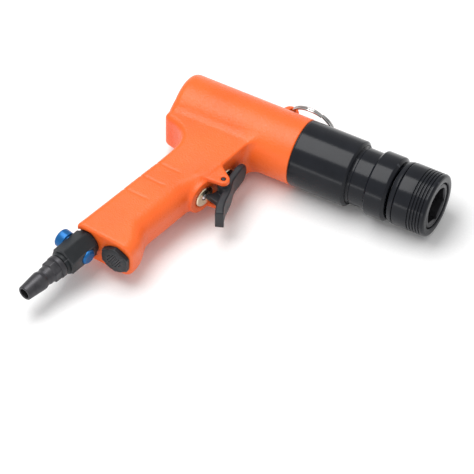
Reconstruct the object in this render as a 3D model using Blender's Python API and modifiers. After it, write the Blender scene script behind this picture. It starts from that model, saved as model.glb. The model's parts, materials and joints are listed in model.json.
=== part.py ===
"""Pneumatic rivet gun: pistol-grip air tool with a two-way trigger and a quick-release hex chuck.

The tool lies on its left side on the plane Z = 0: +X is the muzzle, +Y the top of the tool, +Z its right.
Lengths are written in millimetres and turned into metres when a mesh is made.

Two frames carry the pieces. In the barrel frame, local X is the tool's top, local Y its right side and
local Z runs forward along the barrel from the joint between the casting and the gear case. In the grip
frame, local X points forward out of the grip, local Y is the tool's right side and local Z runs down the
grip from the barrel's axis.
"""
import math

import bmesh
import bpy
from mathutils import Matrix, Vector

MM = 0.001
GAP = 0.3                      # clearance between neighbouring solids

# Where the barrel's axis lies, and how the grip is raked
BARREL_AT = (6.064, 84.039, 24.0)
GRIP_DOWN = Vector((-0.2756, -0.9613, 0.0)).normalized()
GRIP_OUT = Vector((0.9613, -0.2756, 0.0)).normalized()

# Barrel, measured along its axis from the casting's front edge
HEAD_R = 24.0
HEAD_BACK = -93.2
HEAD_EDGE = 5.5
BORE_R = 20.4
BORE_BACK = -83.0
CASE_FRONT = 43.5
CASE_BORE_R = 21.5
SPIGOT_R = 20.1
NECK_R = 20.6
RING_BACK = 57.5
RING_FRONT = 74.0
RING_R = 23.4
SLEEVE_BACK = 80.0
SLEEVE_FRONT = 105.0
SLEEVE_R = 22.9
NUT_BACK = 75.8
SPINDLE_R = 8.2
SPINDLE_FRONT = 104.2
SPINDLE_HEAD_R = 16.7
SEAT_R = 15.3
HEX_FLATS = 24.0
HEX_FLOOR = 80.0

# Gears
MODULE = 1.0
PRESSURE = math.radians(25.0)
SUN_TEETH = 12
PLANET_TEETH = 12
RING_TEETH = 36
ADDENDUM = 0.85
DEDENDUM = 1.1
BACKLASH = 0.3
PLANETS = 3
PLANET_ORBIT = MODULE * (SUN_TEETH + PLANET_TEETH) / 2
GEARS_BACK = 3.6
GEARS_FRONT = 13.0
PLANET_PIN_R = 2.2

# Air motor
ROTOR_R = 13.0
ROTOR_BACK = -76.9
ROTOR_FRONT = -22.3
VANES = 5
VANE_THICK = 1.5
VANE_TALL = 6.0
SLOT_WIDE = 2.1
CYLINDER_OFFSET = 2.2

# Chuck
BALLS = 3
BALL_R = 2.75
BALL_AT = 94.0
BALL_ORBIT = 13.9

# Grip, as distances out of (n) and down (h) the grip frame
BASE_SLOPE = -0.173            # how the base plane falls back, height per unit of n
INLET_N = -52.9
EXHAUST_N = -28.7
UPPER_VALVE_H = 53.2
LOWER_VALVE_H = 74.7
SLAB_FRONT_N = -23.4
VALVE_SEAT_N = -23.3
PIVOT_N = -14.8
PIVOT_H = 63.2
BASE_FACE_H = 158.6
SILENCER_R = 5.4               # threaded stem of the exhaust silencer

PARTS = "pneumatic_rivet_gun"
CUTTERS = "cutters"


# ---------------------------------------------------------------- scene and finishes

def clear_scene():
    for item in list(bpy.data.objects):
        bpy.data.objects.remove(item, do_unlink=True)


def collection(name):
    made = bpy.data.collections.new(name)
    bpy.context.scene.collection.children.link(made)
    return made


def finish(name, colour, roughness, metallic):
    made = bpy.data.materials.new(name)
    made.use_nodes = True
    shader = made.node_tree.nodes["Principled BSDF"]
    shader.inputs["Base Color"].default_value = (*colour, 1.0)
    shader.inputs["Roughness"].default_value = roughness
    shader.inputs["Metallic"].default_value = metallic
    return made


def make_finishes():
    return {
        "orange_paint": finish("orange_paint", (0.84, 0.13, 0.03), 0.38, 0.0),
        "black_anodised": finish("black_anodised", (0.012, 0.013, 0.018), 0.28, 0.6),
        "black_plastic": finish("black_plastic", (0.02, 0.02, 0.023), 0.45, 0.0),
        "black_oxide": finish("black_oxide", (0.025, 0.025, 0.028), 0.4, 0.8),
        "bright_steel": finish("bright_steel", (0.62, 0.62, 0.63), 0.22, 1.0),
        "cut_steel": finish("cut_steel", (0.45, 0.45, 0.46), 0.35, 1.0),
        "yellow_zinc": finish("yellow_zinc", (0.62, 0.5, 0.2), 0.3, 1.0),
        "blue_anodised": finish("blue_anodised", (0.02, 0.13, 0.4), 0.3, 0.7),
        "rubber": finish("rubber", (0.02, 0.02, 0.02), 0.7, 0.0),
        "felt": finish("felt", (0.5, 0.47, 0.4), 0.95, 0.0),
        "composite": finish("composite", (0.2, 0.11, 0.05), 0.6, 0.0),
    }


clear_scene()
parts = collection(PARTS)
cutters = collection(CUTTERS)
FINISHES = make_finishes()


def empty(name, rotation, location):
    made = bpy.data.objects.new(name, None)
    made.matrix_world = Matrix.Translation(Vector(location) * MM) @ rotation.to_4x4()
    parts.objects.link(made)
    return made


def basis(x_axis, y_axis, z_axis):
    return Matrix((x_axis, y_axis, z_axis)).transposed()


BARREL = empty("barrel_axis", basis((0, 1, 0), (0, 0, 1), (1, 0, 0)), BARREL_AT)
GRIP = empty("grip_axis", basis(GRIP_OUT, (0, 0, 1), GRIP_DOWN), BARREL_AT)
ALONG_GRIP = Matrix.Identity(3)
ACROSS_GRIP = Matrix.Rotation(math.radians(90.0), 3, "Y")      # local Z becomes the grip frame's +X
SIDEWAYS = Matrix.Rotation(math.radians(-90.0), 3, "X")        # local Z becomes the grip frame's +Y
FACING_OUT = Matrix(((0, 0, 1), (1, 0, 0), (0, 1, 0)))         # local XY becomes the grip frame's YZ
SKEW = Matrix.Rotation(math.radians(3.7), 3, "Z")              # keeps a cutter's facets off its target's


# ---------------------------------------------------------------- modelling helpers

def place(item, frame, at, rotation=ALONG_GRIP, colour=None):
    """Puts an object into the scene, or into the cutters where it has no finish."""
    item.parent = frame
    item.matrix_basis = Matrix.Translation(Vector(at) * MM) @ rotation.to_4x4()
    if colour is None:
        cutters.objects.link(item)
        item.hide_render = True
        item.display_type = "WIRE"
    else:
        parts.objects.link(item)
        item.data.materials.append(FINISHES[colour])
    return item


def smooth(mesh, angle=35.0):
    mesh.shade_smooth()
    mesh.set_sharp_from_angle(angle=math.radians(angle))


def turned(name, outline, frame=BARREL, at=(0, 0, 0), rotation=ALONG_GRIP, colour=None, steps=32):
    """A turned piece about local Z. The outline is (station, radius) pairs: down the outside from the
    highest station to the lowest, and back up the bore. An outline that starts and ends on the axis
    makes a solid piece, and any other is closed into a ring."""
    mesh = bpy.data.meshes.new(name)
    shape = bmesh.new()
    points = [shape.verts.new((radius * MM, 0.0, station * MM)) for station, radius in outline]
    solid = outline[0][1] == 0.0
    ends = points[1:] if solid else points[1:] + points[:1]
    for first, second in zip(points, ends):
        shape.edges.new((first, second))
    shape.to_mesh(mesh)
    shape.free()
    item = bpy.data.objects.new(name, mesh)
    screw = item.modifiers.new("turn", "SCREW")
    screw.steps = steps
    screw.render_steps = steps
    screw.use_merge_vertices = True
    screw.merge_threshold = 0.000005
    screw.use_smooth_shade = True
    return place(item, frame, at, rotation if colour else rotation @ SKEW, colour)


def drum(low, high, radius):
    """Outline of a plain solid cylinder between two stations."""
    return [(high, 0.0), (high, radius), (low, radius), (low, 0.0)]


def sleeve_outline(low, high, outer, inner):
    """Outline of a plain ring between two stations."""
    return [(high, outer), (low, outer), (low, inner), (high, inner)]


def flat(name, outlines, low, high, frame, at=(0, 0, 0), rotation=ALONG_GRIP, colour=None, bevel=0.0):
    """A flat outline, with any holes, as thick as the stretch from low to high along local Z."""
    curve = bpy.data.curves.new(name, "CURVE")
    curve.dimensions = "2D"
    curve.fill_mode = "BOTH"
    curve.extrude = (high - low) / 2 * MM
    for outline in outlines:
        spline = curve.splines.new("POLY")
        spline.points.add(len(outline) - 1)
        for point, (x, y) in zip(spline.points, outline):
            point.co = (x * MM, y * MM, 0.0, 1.0)
        spline.use_cyclic_u = True
    mesh = meshed(curve)
    mesh.transform(Matrix.Translation((0.0, 0.0, (high + low) / 2 * MM)))
    item = bpy.data.objects.new(name, mesh)
    if bevel:
        edge = item.modifiers.new("edges", "BEVEL")
        edge.width = bevel * MM
        edge.segments = 2
        edge.limit_method = "ANGLE"
        edge.angle_limit = math.radians(50.0)
    return place(item, frame, at, rotation, colour)


def meshed(curve, place_in=None):
    """The mesh of a curve, with its caps welded on."""
    guide = bpy.data.objects.new("guide", curve)
    bpy.context.scene.collection.objects.link(guide)
    if place_in is not None:
        guide.matrix_world = place_in
    bpy.context.view_layer.update()
    evaluated = guide.evaluated_get(bpy.context.evaluated_depsgraph_get())
    mesh = bpy.data.meshes.new_from_object(evaluated)
    shape = bmesh.new()
    shape.from_mesh(mesh)
    bmesh.ops.remove_doubles(shape, verts=shape.verts, dist=0.000001)
    bmesh.ops.recalc_face_normals(shape, faces=shape.faces)
    shape.to_mesh(mesh)
    shape.free()
    bpy.data.objects.remove(guide, do_unlink=True)
    return mesh


def wire(name, path, radius, frame, colour, at=(0, 0, 0), rotation=ALONG_GRIP, closed=False):
    """A round wire along a list of points."""
    curve = bpy.data.curves.new(name, "CURVE")
    curve.dimensions = "3D"
    curve.bevel_depth = radius * MM
    curve.bevel_resolution = 1
    curve.use_fill_caps = not closed
    spline = curve.splines.new("POLY")
    spline.points.add(len(path) - 1)
    for point, place_at in zip(spline.points, path):
        point.co = (*(value * MM for value in place_at), 1.0)
    spline.use_cyclic_u = closed
    item = bpy.data.objects.new(name, meshed(curve))
    smooth(item.data)
    return place(item, frame, at, rotation, colour)


def join(item, *others):
    """Unites the others with the item."""
    for other in others:
        union = item.modifiers.new("join", "BOOLEAN")
        union.operation = "UNION"
        union.solver = "EXACT"
        union.object = other


def cut(item, *others):
    """Cuts the others out of the item."""
    for other in others:
        difference = item.modifiers.new("cut", "BOOLEAN")
        difference.operation = "DIFFERENCE"
        difference.solver = "EXACT"
        difference.object = other


def circle(radius, count, centre=(0.0, 0.0), turn=0.0):
    return [(centre[0] + radius * math.cos(math.tau * i / count + turn),
             centre[1] + radius * math.sin(math.tau * i / count + turn)) for i in range(count)]


def hexagon(flats, turn_degrees=0.0):
    """A hexagon by its width across flats, with a corner on local X before it is turned."""
    return circle(flats / math.sqrt(3.0), 6, turn=math.radians(turn_degrees))


def coil(radius, low, high, turns, per_turn=12):
    """Points along a compression spring about local Z."""
    count = int(turns * per_turn) + 1
    return [(radius * math.cos(math.tau * i / per_turn), radius * math.sin(math.tau * i / per_turn),
             low + (high - low) * i / (count - 1)) for i in range(count)]


# ---------------------------------------------------------------- casting

def grip_section(height, front, rear, half_thick, front_power, tilt):
    """One level of the grip on a sloped plane: a superellipse, with its front squared or rounded on its own."""
    centre = (front + rear) / 2
    half_deep = (front - rear) / 2
    points = []
    for i in range(SECTION_POINTS):
        angle = math.tau * i / SECTION_POINTS
        c, s = math.cos(angle), math.sin(angle)
        power = front_power if c > 0 else REAR_POWER
        n = centre + half_deep * math.copysign(abs(c) ** (2 / power), c)
        side = half_thick * math.copysign(abs(s) ** (2 / power), s)
        points.append((n, side, height + tilt * (n - EXHAUST_N)))
    return points


SECTION_POINTS = 32
REAR_POWER = 5.0
# height, front, rear, half thickness, squareness of the front, slope of the level
GRIP_LEVELS = (
    (20.0, -23.4, -90.3, 15.5, 6.0, 0.0), (36.0, -23.4, -87.1, 16.5, 6.0, 0.0),
    (46.0, -23.4, -84.4, 16.5, 6.0, 0.0), (49.3, -23.4, -82.9, 16.0, 6.0, 0.0),
    (50.2, -23.4, -77.5, 15.8, 6.0, 0.0), (50.9, -23.4, -68.5, 15.8, 6.0, 0.0),
    (52.6, -23.4, -64.6, 16.0, 6.0, 0.0), (56.4, -23.4, -61.6, 16.2, 6.0, 0.0),
    (61.5, -23.4, -60.4, 16.1, 5.5, 0.0), (68.0, -23.6, -60.4, 15.9, 5.0, 0.0),
    (78.0, -24.2, -60.4, 15.7, 3.6, 0.0), (88.0, -24.8, -60.6, 15.5, 2.8, 0.0),
    (102.0, -24.8, -61.0, 15.5, 2.7, 0.0), (116.0, -24.8, -61.5, 15.5, 2.7, 0.0),
    (128.0, -24.6, -61.9, 15.5, 2.7, -0.04), (134.5, -22.6, -62.0, 15.5, 2.8, -0.08),
    (141.0, -19.2, -62.1, 15.5, 2.9, -0.12), (148.5, -17.2, -62.3, 15.4, 3.0, -0.16),
    (154.0, -17.2, -62.4, 15.2, 3.0, BASE_SLOPE), (155.25, -18.2, -61.6, 14.4, 3.0, BASE_SLOPE),
)


def grip_loft():
    """The pistol frame from inside the head down to the base, lofted through its levels."""
    mesh = bpy.data.meshes.new("grip_loft")
    shape = bmesh.new()
    rings = [[shape.verts.new(Vector(point) * MM) for point in grip_section(*level)]
             for level in GRIP_LEVELS]
    for upper, lower in zip(rings, rings[1:]):
        for i in range(SECTION_POINTS):
            j = (i + 1) % SECTION_POINTS
            shape.faces.new((upper[i], upper[j], lower[j], lower[i]))
    shape.faces.new(rings[0][::-1])
    shape.faces.new(rings[-1])
    bmesh.ops.recalc_face_normals(shape, faces=shape.faces)
    shape.to_mesh(mesh)
    shape.free()
    item = bpy.data.objects.new("grip_loft", mesh)
    return place(item, GRIP, (0, 0, 0))


def head_outline():
    corner = [(HEAD_BACK + HEAD_EDGE * (1 - math.sin(a)), HEAD_R - HEAD_EDGE * (1 - math.cos(a)))
              for a in (math.radians(30 * i) for i in range(4))]
    return [(0.0, 0.0), (0.0, HEAD_R), *corner, (HEAD_BACK, 0.0)]


LUG_HOLE = (27.9, -21.6)       # above the barrel's axis, and along it
LUG_HOLE_R = 2.3


def hanging_lug():
    """The fin on top of the head that the hanging ring goes through."""
    back, front, top, root = -29.0, -16.8, 32.0, 20.8
    outline = [(root, front + 2.5), (25.0, front + 0.6), (28.5, front), (30.8, front - 1.6),
               (top, front - 4.2), (31.8, back + 5.0), (30.0, back + 2.0), (26.0, back + 0.4), (root, back)]
    turn = Matrix.Rotation(math.radians(90.0), 3, "X")
    return flat("hanging_lug", [[(up, along) for up, along in outline]], -3.0, 3.0, BARREL,
                rotation=turn, bevel=0.8)


def trigger_ears():
    """Two cheeks that carry the trigger's pin."""
    root_n, half = SLAB_FRONT_N - 6.0, 4.3
    nose = [(PIVOT_N + half * math.cos(a), PIVOT_H + half * math.sin(a))
            for a in (math.radians(70 - 20 * i) for i in range(8))]
    outline = [(root_n, PIVOT_H + 10.0), (SLAB_FRONT_N, PIVOT_H + 8.0), *nose,
               (SLAB_FRONT_N, PIVOT_H - 8.0), (root_n, PIVOT_H - 10.0)]
    ears = []
    for side in (-1, 1):
        low, high = sorted((side * 11.4, side * 15.2))
        ears.append(flat("trigger_ear", [outline], -high, -low, GRIP,
                         rotation=Matrix.Rotation(math.radians(90.0), 3, "X")))
    return ears


def pistol_housing():
    head = turned("pistol_housing", head_outline(), colour="orange_paint", steps=40)
    boss = turned("lower_valve_boss", drum(-36.0, -22.2, 13.8), GRIP, (0, 0, LOWER_VALVE_H),
                  ACROSS_GRIP, steps=28)
    join(head, grip_loft(), hanging_lug(), boss, *trigger_ears())
    cut(head, turned("motor_bore", drum(BORE_BACK, 5.0, BORE_R), steps=40))
    for valve_h in (UPPER_VALVE_H, LOWER_VALVE_H):
        cut(head, turned("valve_pocket", [(-10.0, 0.0), (-10.0, 8.6), (VALVE_SEAT_N, 8.6), (VALVE_SEAT_N, 5.3),
                                          (-46.0, 5.3), (-46.0, 0.0)],
                         GRIP, (0, 0, valve_h), ACROSS_GRIP, steps=24))
    pin_hole = turned("pin_hole", drum(-17.0, 17.0, 1.8), GRIP, (PIVOT_N, 0, PIVOT_H), SIDEWAYS, steps=16)
    lug_hole = turned("lug_hole", drum(-5.0, 5.0, LUG_HOLE_R), BARREL, (LUG_HOLE[0], 0, LUG_HOLE[1]),
                      SIDEWAYS, steps=16)
    inlet = turned("inlet_bore", [(180.0, 0.0), (180.0, 11.6), (BASE_FACE_H - 1.3, 11.6),
                                  (BASE_FACE_H - 1.3, 7.0), (128.0, 7.0), (128.0, 0.0)],
                   GRIP, (INLET_N, 0, 0), steps=28)
    exhaust = turned("exhaust_bore", [(180.0, 0.0), (180.0, 10.2), (153.3, 10.2), (153.3, SILENCER_R + GAP),
                                      (145.0, SILENCER_R + GAP), (145.0, 0.0)], GRIP, (EXHAUST_N, 0, 0),
                     steps=28)
    supply = turned("supply_passage", drum(46.0, 131.0, 3.0), GRIP, (-46.4, 0, 0), steps=16)
    return_air = turned("return_passage", drum(90.0, 149.0, 3.0), GRIP, (-35.2, 0, 0), steps=16)
    cut(head, pin_hole, lug_hole, inlet, exhaust, supply, return_air)


# ---------------------------------------------------------------- gears and air motor

def involute(angle):
    return math.tan(angle) - angle


def tooth_half_angle(teeth, radius, backlash):
    """Half the angle that a tooth fills at a radius, on an involute flank."""
    pitch_r = MODULE * teeth / 2
    base_r = pitch_r * math.cos(PRESSURE)
    at_radius = math.acos(min(1.0, base_r / radius))
    return math.pi / (2 * teeth) - backlash / (2 * pitch_r) + involute(PRESSURE) - involute(at_radius)


def gear_outline(teeth, tip_r, root_r, backlash, turn=0.0):
    """A gear's outline with a tooth centred on local X. An internal gear is the same outline with its
    tooth taken as the space, so its tip and root swap."""
    base_r = MODULE * teeth / 2 * math.cos(PRESSURE)
    low_r, high_r = sorted((tip_r, root_r))
    flank = [max(low_r, base_r), high_r]
    if low_r < base_r:
        flank.insert(0, low_r)
    points = []
    for tooth in range(teeth):
        centre = math.tau * tooth / teeth + turn
        rising = [(r, centre - tooth_half_angle(teeth, r, backlash)) for r in flank]
        falling = [(r, 2 * centre - a) for r, a in reversed(rising)]
        points += [(r * math.cos(a), r * math.sin(a)) for r, a in rising + falling]
    return points


def gear_train():
    """Ring gear in the gear case, three planets on the spindle's pins, and the sun on the rotor."""
    tip, root = ADDENDUM, DEDENDUM
    ring_pitch = MODULE * RING_TEETH / 2
    spaces = gear_outline(RING_TEETH, ring_pitch - tip, ring_pitch + root, -BACKLASH,
                          turn=math.pi / RING_TEETH)
    flat("ring_gear", [circle(CASE_BORE_R - GAP, 36), spaces], 2.9, 16.0, BARREL, colour="cut_steel")
    planet_pitch = MODULE * PLANET_TEETH / 2
    for k in range(PLANETS):
        angle = math.radians(90.0 + 120.0 * k)
        teeth = gear_outline(PLANET_TEETH, planet_pitch + tip, planet_pitch - root, BACKLASH)
        turn = Matrix.Rotation(angle + math.pi / PLANET_TEETH, 3, "Z")
        orbit = (PLANET_ORBIT * math.cos(angle), PLANET_ORBIT * math.sin(angle), 0)
        flat(f"planet_gear_{k + 1}", [teeth, circle(PLANET_PIN_R + GAP, 16)], GEARS_BACK, GEARS_FRONT,
             BARREL, orbit, turn, "cut_steel")
        turned(f"planet_pin_{k + 1}", drum(3.2, 17.8, PLANET_PIN_R), BARREL, orbit, colour="bright_steel",
               steps=16)
    sun_pitch = MODULE * SUN_TEETH / 2
    sun = gear_outline(SUN_TEETH, sun_pitch + tip, sun_pitch - root, BACKLASH)
    flat("sun_pinion", [sun, circle(3.3, 20)], GEARS_BACK, GEARS_FRONT, BARREL, colour="cut_steel")


def rotor_outline():
    """The rotor's end view: a circle with a radial slot for each vane."""
    half = SLOT_WIDE / 2
    mouth = math.asin(half / ROTOR_R)
    floor_r = ROTOR_R - VANE_TALL - 0.6
    points = []
    for k in range(VANES):
        centre = math.tau * k / VANES
        for out, across in ((ROTOR_R * math.cos(mouth), -half), (floor_r, -half), (floor_r, half),
                            (ROTOR_R * math.cos(mouth), half)):
            points.append((out * math.cos(centre) - across * math.sin(centre),
                           out * math.sin(centre) + across * math.cos(centre)))
        arc = math.tau / VANES - 2 * mouth
        points += [(ROTOR_R * math.cos(centre + mouth + arc * i / 7), ROTOR_R *
                    math.sin(centre + mouth + arc * i / 7)) for i in range(1, 7)]
    return points


def air_motor():
    """Cylinder bored off-centre, two end plates with bearings, and the slotted rotor with its vanes."""
    rotor = flat("rotor", [rotor_outline()], ROTOR_BACK, ROTOR_FRONT, BARREL, colour="cut_steel")
    shaft = turned("rotor_shaft", [(13.4, 0.0), (13.4, 3.0), (ROTOR_FRONT + 8.0, 3.0),
                                   (ROTOR_FRONT + 8.0, 4.0), (-82.0, 4.0), (-82.0, 0.0)], steps=20)
    join(rotor, shaft)
    for k in range(VANES):
        angle = math.tau * k / VANES
        low = ROTOR_R - VANE_TALL - 0.2
        blade = [(low, -VANE_THICK / 2), (ROTOR_R - 0.1, -VANE_THICK / 2),
                 (ROTOR_R - 0.1, VANE_THICK / 2), (low, VANE_THICK / 2)]
        flat(f"vane_{k + 1}", [blade], ROTOR_BACK, ROTOR_FRONT, BARREL,
             rotation=Matrix.Rotation(angle, 3, "Z"), colour="composite")
    flat("motor_cylinder", [circle(20.0, 48), circle(15.5, 40, (CYLINDER_OFFSET, 0.0))], -77.2, -22.0,
         BARREL, colour="cut_steel")
    for name, back, inward in (("rear", -82.7, 1), ("front", -21.7, -1)):
        front = back + 5.2
        seat = (back, back + 4.0) if inward > 0 else (front - 4.0, front)
        outline = [(front, 20.0), (back, 20.0)]
        if inward > 0:
            outline += [(back, 9.3), (seat[1], 9.3), (seat[1], 4.5), (front, 4.5)]
        else:
            outline += [(back, 4.5), (seat[0], 4.5), (seat[0], 9.3), (front, 9.3)]
        turned(f"motor_{name}_plate", outline, colour="cut_steel", steps=24)
        turned(f"rotor_{name}_bearing", sleeve_outline(seat[0] + 0.3 * (inward < 0),
                                                        seat[1] - 0.3 * (inward > 0), 9.0, 4.3),
               colour="bright_steel", steps=20)


# ---------------------------------------------------------------- nose

def gear_case():
    turned("gear_case", [(CASE_FRONT, 22.2), (CASE_FRONT - 1.8, HEAD_R), (GAP, HEAD_R), (GAP, SPIGOT_R),
                         (-10.0, SPIGOT_R), (-10.0, 17.8), (2.6, 17.8), (2.6, CASE_BORE_R),
                         (CASE_FRONT, CASE_BORE_R)], colour="black_anodised", steps=36)


def nose_housing():
    outer = [(RING_FRONT, RING_R - 2.0), (RING_FRONT - 2.0, RING_R), (RING_BACK + 1.5, RING_R),
             (RING_BACK, RING_R - 1.5), (RING_BACK, NECK_R), (CASE_FRONT, NECK_R),
             (CASE_FRONT, CASE_BORE_R - GAP), (17.0, CASE_BORE_R - GAP)]
    bore = [(17.0, SEAT_R), (45.0, SEAT_R), (45.0, 12.0), (62.0, 12.0), (62.0, SEAT_R),
            (RING_FRONT, SEAT_R)]
    turned("nose_housing", outer + bore, colour="black_anodised", steps=36)
    turned("spindle_rear_bearing", sleeve_outline(36.0, 43.0, 15.0, 8.5), colour="bright_steel", steps=24)
    turned("spindle_front_bearing", sleeve_outline(63.0, 70.0, 15.0, 8.5), colour="bright_steel",
           steps=24)
    turned("nose_seal", sleeve_outline(71.0, 73.5, 15.0, 8.6), colour="rubber", steps=24)


def output_spindle():
    """Planet carrier, shaft and hex socket head in one piece."""
    spindle = turned("output_spindle", [
        (SPINDLE_FRONT, 0.0), (SPINDLE_FRONT, SPINDLE_HEAD_R - 0.8), (SPINDLE_FRONT - 0.8, SPINDLE_HEAD_R),
        (75.5, SPINDLE_HEAD_R), (75.5, 18.5), (74.6, 18.5), (74.6, SPINDLE_R), (18.5, SPINDLE_R),
        (18.5, 14.7), (14.0, 14.7), (14.0, 0.0)], colour="black_oxide", steps=36)
    socket = flat("hex_socket", [hexagon(HEX_FLATS, 30.0)], HEX_FLOOR, SPINDLE_FRONT + 5.0, BARREL)
    cut(spindle, socket)
    for k in range(PLANETS):
        angle = math.radians(90.0 + 120.0 * k)
        cut(spindle, turned("pin_seat", drum(10.0, 18.1, PLANET_PIN_R + GAP / 2), BARREL,
                            (PLANET_ORBIT * math.cos(angle), PLANET_ORBIT * math.sin(angle), 0), steps=16))
    for k in range(BALLS):
        angle = math.radians(120.0 * k)
        outward = Matrix.Rotation(angle, 3, "Z") @ Matrix.Rotation(math.radians(90.0), 3, "Y")
        cut(spindle, turned("ball_pocket", drum(9.0, 20.0, BALL_R + 0.25), BARREL, (0, 0, BALL_AT),
                            outward, steps=16))
        ball(f"detent_ball_{k + 1}", angle)
    turned("spring_stop_ring", sleeve_outline(88.4, 89.6, 19.2, SPINDLE_HEAD_R + GAP), colour="bright_steel")


def ball(name, angle):
    mesh = bpy.data.meshes.new(name)
    shape = bmesh.new()
    bmesh.ops.create_uvsphere(shape, u_segments=12, v_segments=8, radius=BALL_R * MM)
    shape.to_mesh(mesh)
    shape.free()
    item = bpy.data.objects.new(name, mesh)
    smooth(mesh)
    at = (BALL_ORBIT * math.cos(angle), BALL_ORBIT * math.sin(angle), BALL_AT)
    return place(item, BARREL, at, colour="bright_steel")


RIBS = 5
RIB_PITCH = 2.3
RIB_FIRST = 91.6
RIB_DEPTH = 0.9


def release_sleeve():
    """Ribbed sleeve, pulled forward against its spring to let the balls rise."""
    outer = [(SLEEVE_FRONT, SLEEVE_R - 1.7), (SLEEVE_FRONT - 0.5, SLEEVE_R - 0.5),
             (SLEEVE_FRONT - 1.5, SLEEVE_R)]
    for k in reversed(range(RIBS)):
        back = RIB_FIRST + RIB_PITCH * k
        outer += [(back + 1.3, SLEEVE_R), (back + 0.65, SLEEVE_R - RIB_DEPTH), (back, SLEEVE_R)]
    outer.append((SLEEVE_BACK, SLEEVE_R))
    inner = [(SLEEVE_BACK, 20.0), (90.5, 20.0), (90.5, 18.05), (94.3, 17.1), (SLEEVE_FRONT, 17.1)]
    turned("release_sleeve", outer + inner, colour="black_anodised", steps=32)
    turned("sleeve_end_nut", [(79.7, 22.6), (NUT_BACK, 21.8), (NUT_BACK, 17.1), (79.7, 17.1)],
           colour="black_anodised", steps=32)
    wire("sleeve_spring", coil(18.35, 80.6, 87.6, 3), 0.5, BARREL, "bright_steel")


# ---------------------------------------------------------------- trigger and valves

def valve(name, height):
    """Valve bush, its washer, spring and stem, along the line out of the grip."""
    at = (0, 0, height)
    turned(f"{name}_valve_bush", [(-23.6, 3.9), (-25.7, 3.9), (-25.7, 5.0), (-45.0, 5.0), (-45.0, 4.0),
                                  (-31.0, 4.0), (-31.0, 2.7), (-23.6, 2.7)],
           GRIP, at, ACROSS_GRIP, "black_plastic", 24)
    turned(f"{name}_valve_washer", sleeve_outline(-23.2, -21.3, 8.1, 4.2), GRIP, at, ACROSS_GRIP,
           "yellow_zinc", 32)
    turned(f"{name}_valve_stem", [(-20.9, 0.0), (-20.9, 1.8), (-21.5, 2.4), (-33.0, 2.4), (-33.0, 3.7),
                                  (-34.5, 3.7), (-34.5, 0.0)],
           GRIP, at, ACROSS_GRIP, "black_plastic", 20)
    spring = wire(f"{name}_valve_spring", coil(3.1, -45.2, -35.4, 5, 10), 0.4, GRIP, "bright_steel", at,
                  ACROSS_GRIP)
    return spring


FRONT_CURVE = ((-18.5, 36.2), (-17.0, 40.5), (-16.0, 46.0), (-14.1, 53.9), (-12.4, 57.2), (-10.2, 60.0),
               (-8.3, 65.0), (-5.9, 71.2), (-2.5, 77.1), (1.5, 81.9))
BACK_CURVE = ((-2.3, 85.2), (-6.5, 79.7), (-10.0, 71.6), (-12.6, 66.0), (-15.4, 60.0), (-17.8, 54.5),
              (-19.2, 49.5), (-19.8, 45.5), (-20.5, 38.0), (-19.8, 36.2))
FINGER_HALF = 8.4
FINGER_TIP_H = 36.6


def finger_end_cutter():
    """What is cut from the upper finger to leave its end a half circle across the tool."""
    radius, top = FINGER_HALF + 0.15, FINGER_TIP_H - 3.0
    centre_h, edge = FINGER_TIP_H + radius, FINGER_HALF + 1.0
    arc = [(radius * math.sin(a), centre_h - radius * math.cos(a))
           for a in (math.radians(15 * i - 90) for i in range(13))]
    outline = [(-edge, top), (-edge, centre_h), *arc, (edge, centre_h), (edge, top)]
    return flat("finger_end", [outline], -10.0, 10.0, GRIP, (PIVOT_N, 0, 0), FACING_OUT)


def trigger():
    """Two-finger rocker on its pin: the upper finger works one valve and the lower finger the other."""
    turn = Matrix.Rotation(math.radians(90.0), 3, "X")
    rocker = flat("trigger_rocker", [[*FRONT_CURVE, *BACK_CURVE]], -FINGER_HALF, FINGER_HALF, GRIP,
                  rotation=turn, colour="black_plastic")
    rib = [(-17.0, 46.0), (-14.0, 54.0), (-11.5, 60.0), (-9.5, 66.0), (-8.0, 72.0), (-9.5, 74.2),
           (-20.6, 74.2), (-20.6, 72.4), (-19.0, 71.0), (-18.2, 67.5), (-18.6, 59.5), (-19.0, 56.5),
           (-20.6, 54.6), (-20.6, 51.6), (-18.5, 49.0), (-18.0, 46.0)]
    web = flat("trigger_web", [rib], -2.2, 2.2, GRIP, rotation=turn)
    hub = turned("trigger_hub", drum(-11.1, 11.1, 4.2), GRIP, (PIVOT_N, 0, PIVOT_H), SIDEWAYS, steps=24)
    bore = turned("trigger_bore", drum(-12.0, 12.0, 1.8), GRIP, (PIVOT_N, 0, PIVOT_H), SIDEWAYS, steps=16)
    join(rocker, web, hub)
    cut(rocker, bore, finger_end_cutter())
    turned("trigger_pin", drum(-14.8, 14.8, 1.5), GRIP, (PIVOT_N, 0, PIVOT_H), SIDEWAYS, "bright_steel", 16)


# ---------------------------------------------------------------- air inlet and exhaust

BODY_END = 184.2
SPOOL_H = 168.3
SPOOL_BORE_R = 5.8


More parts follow.
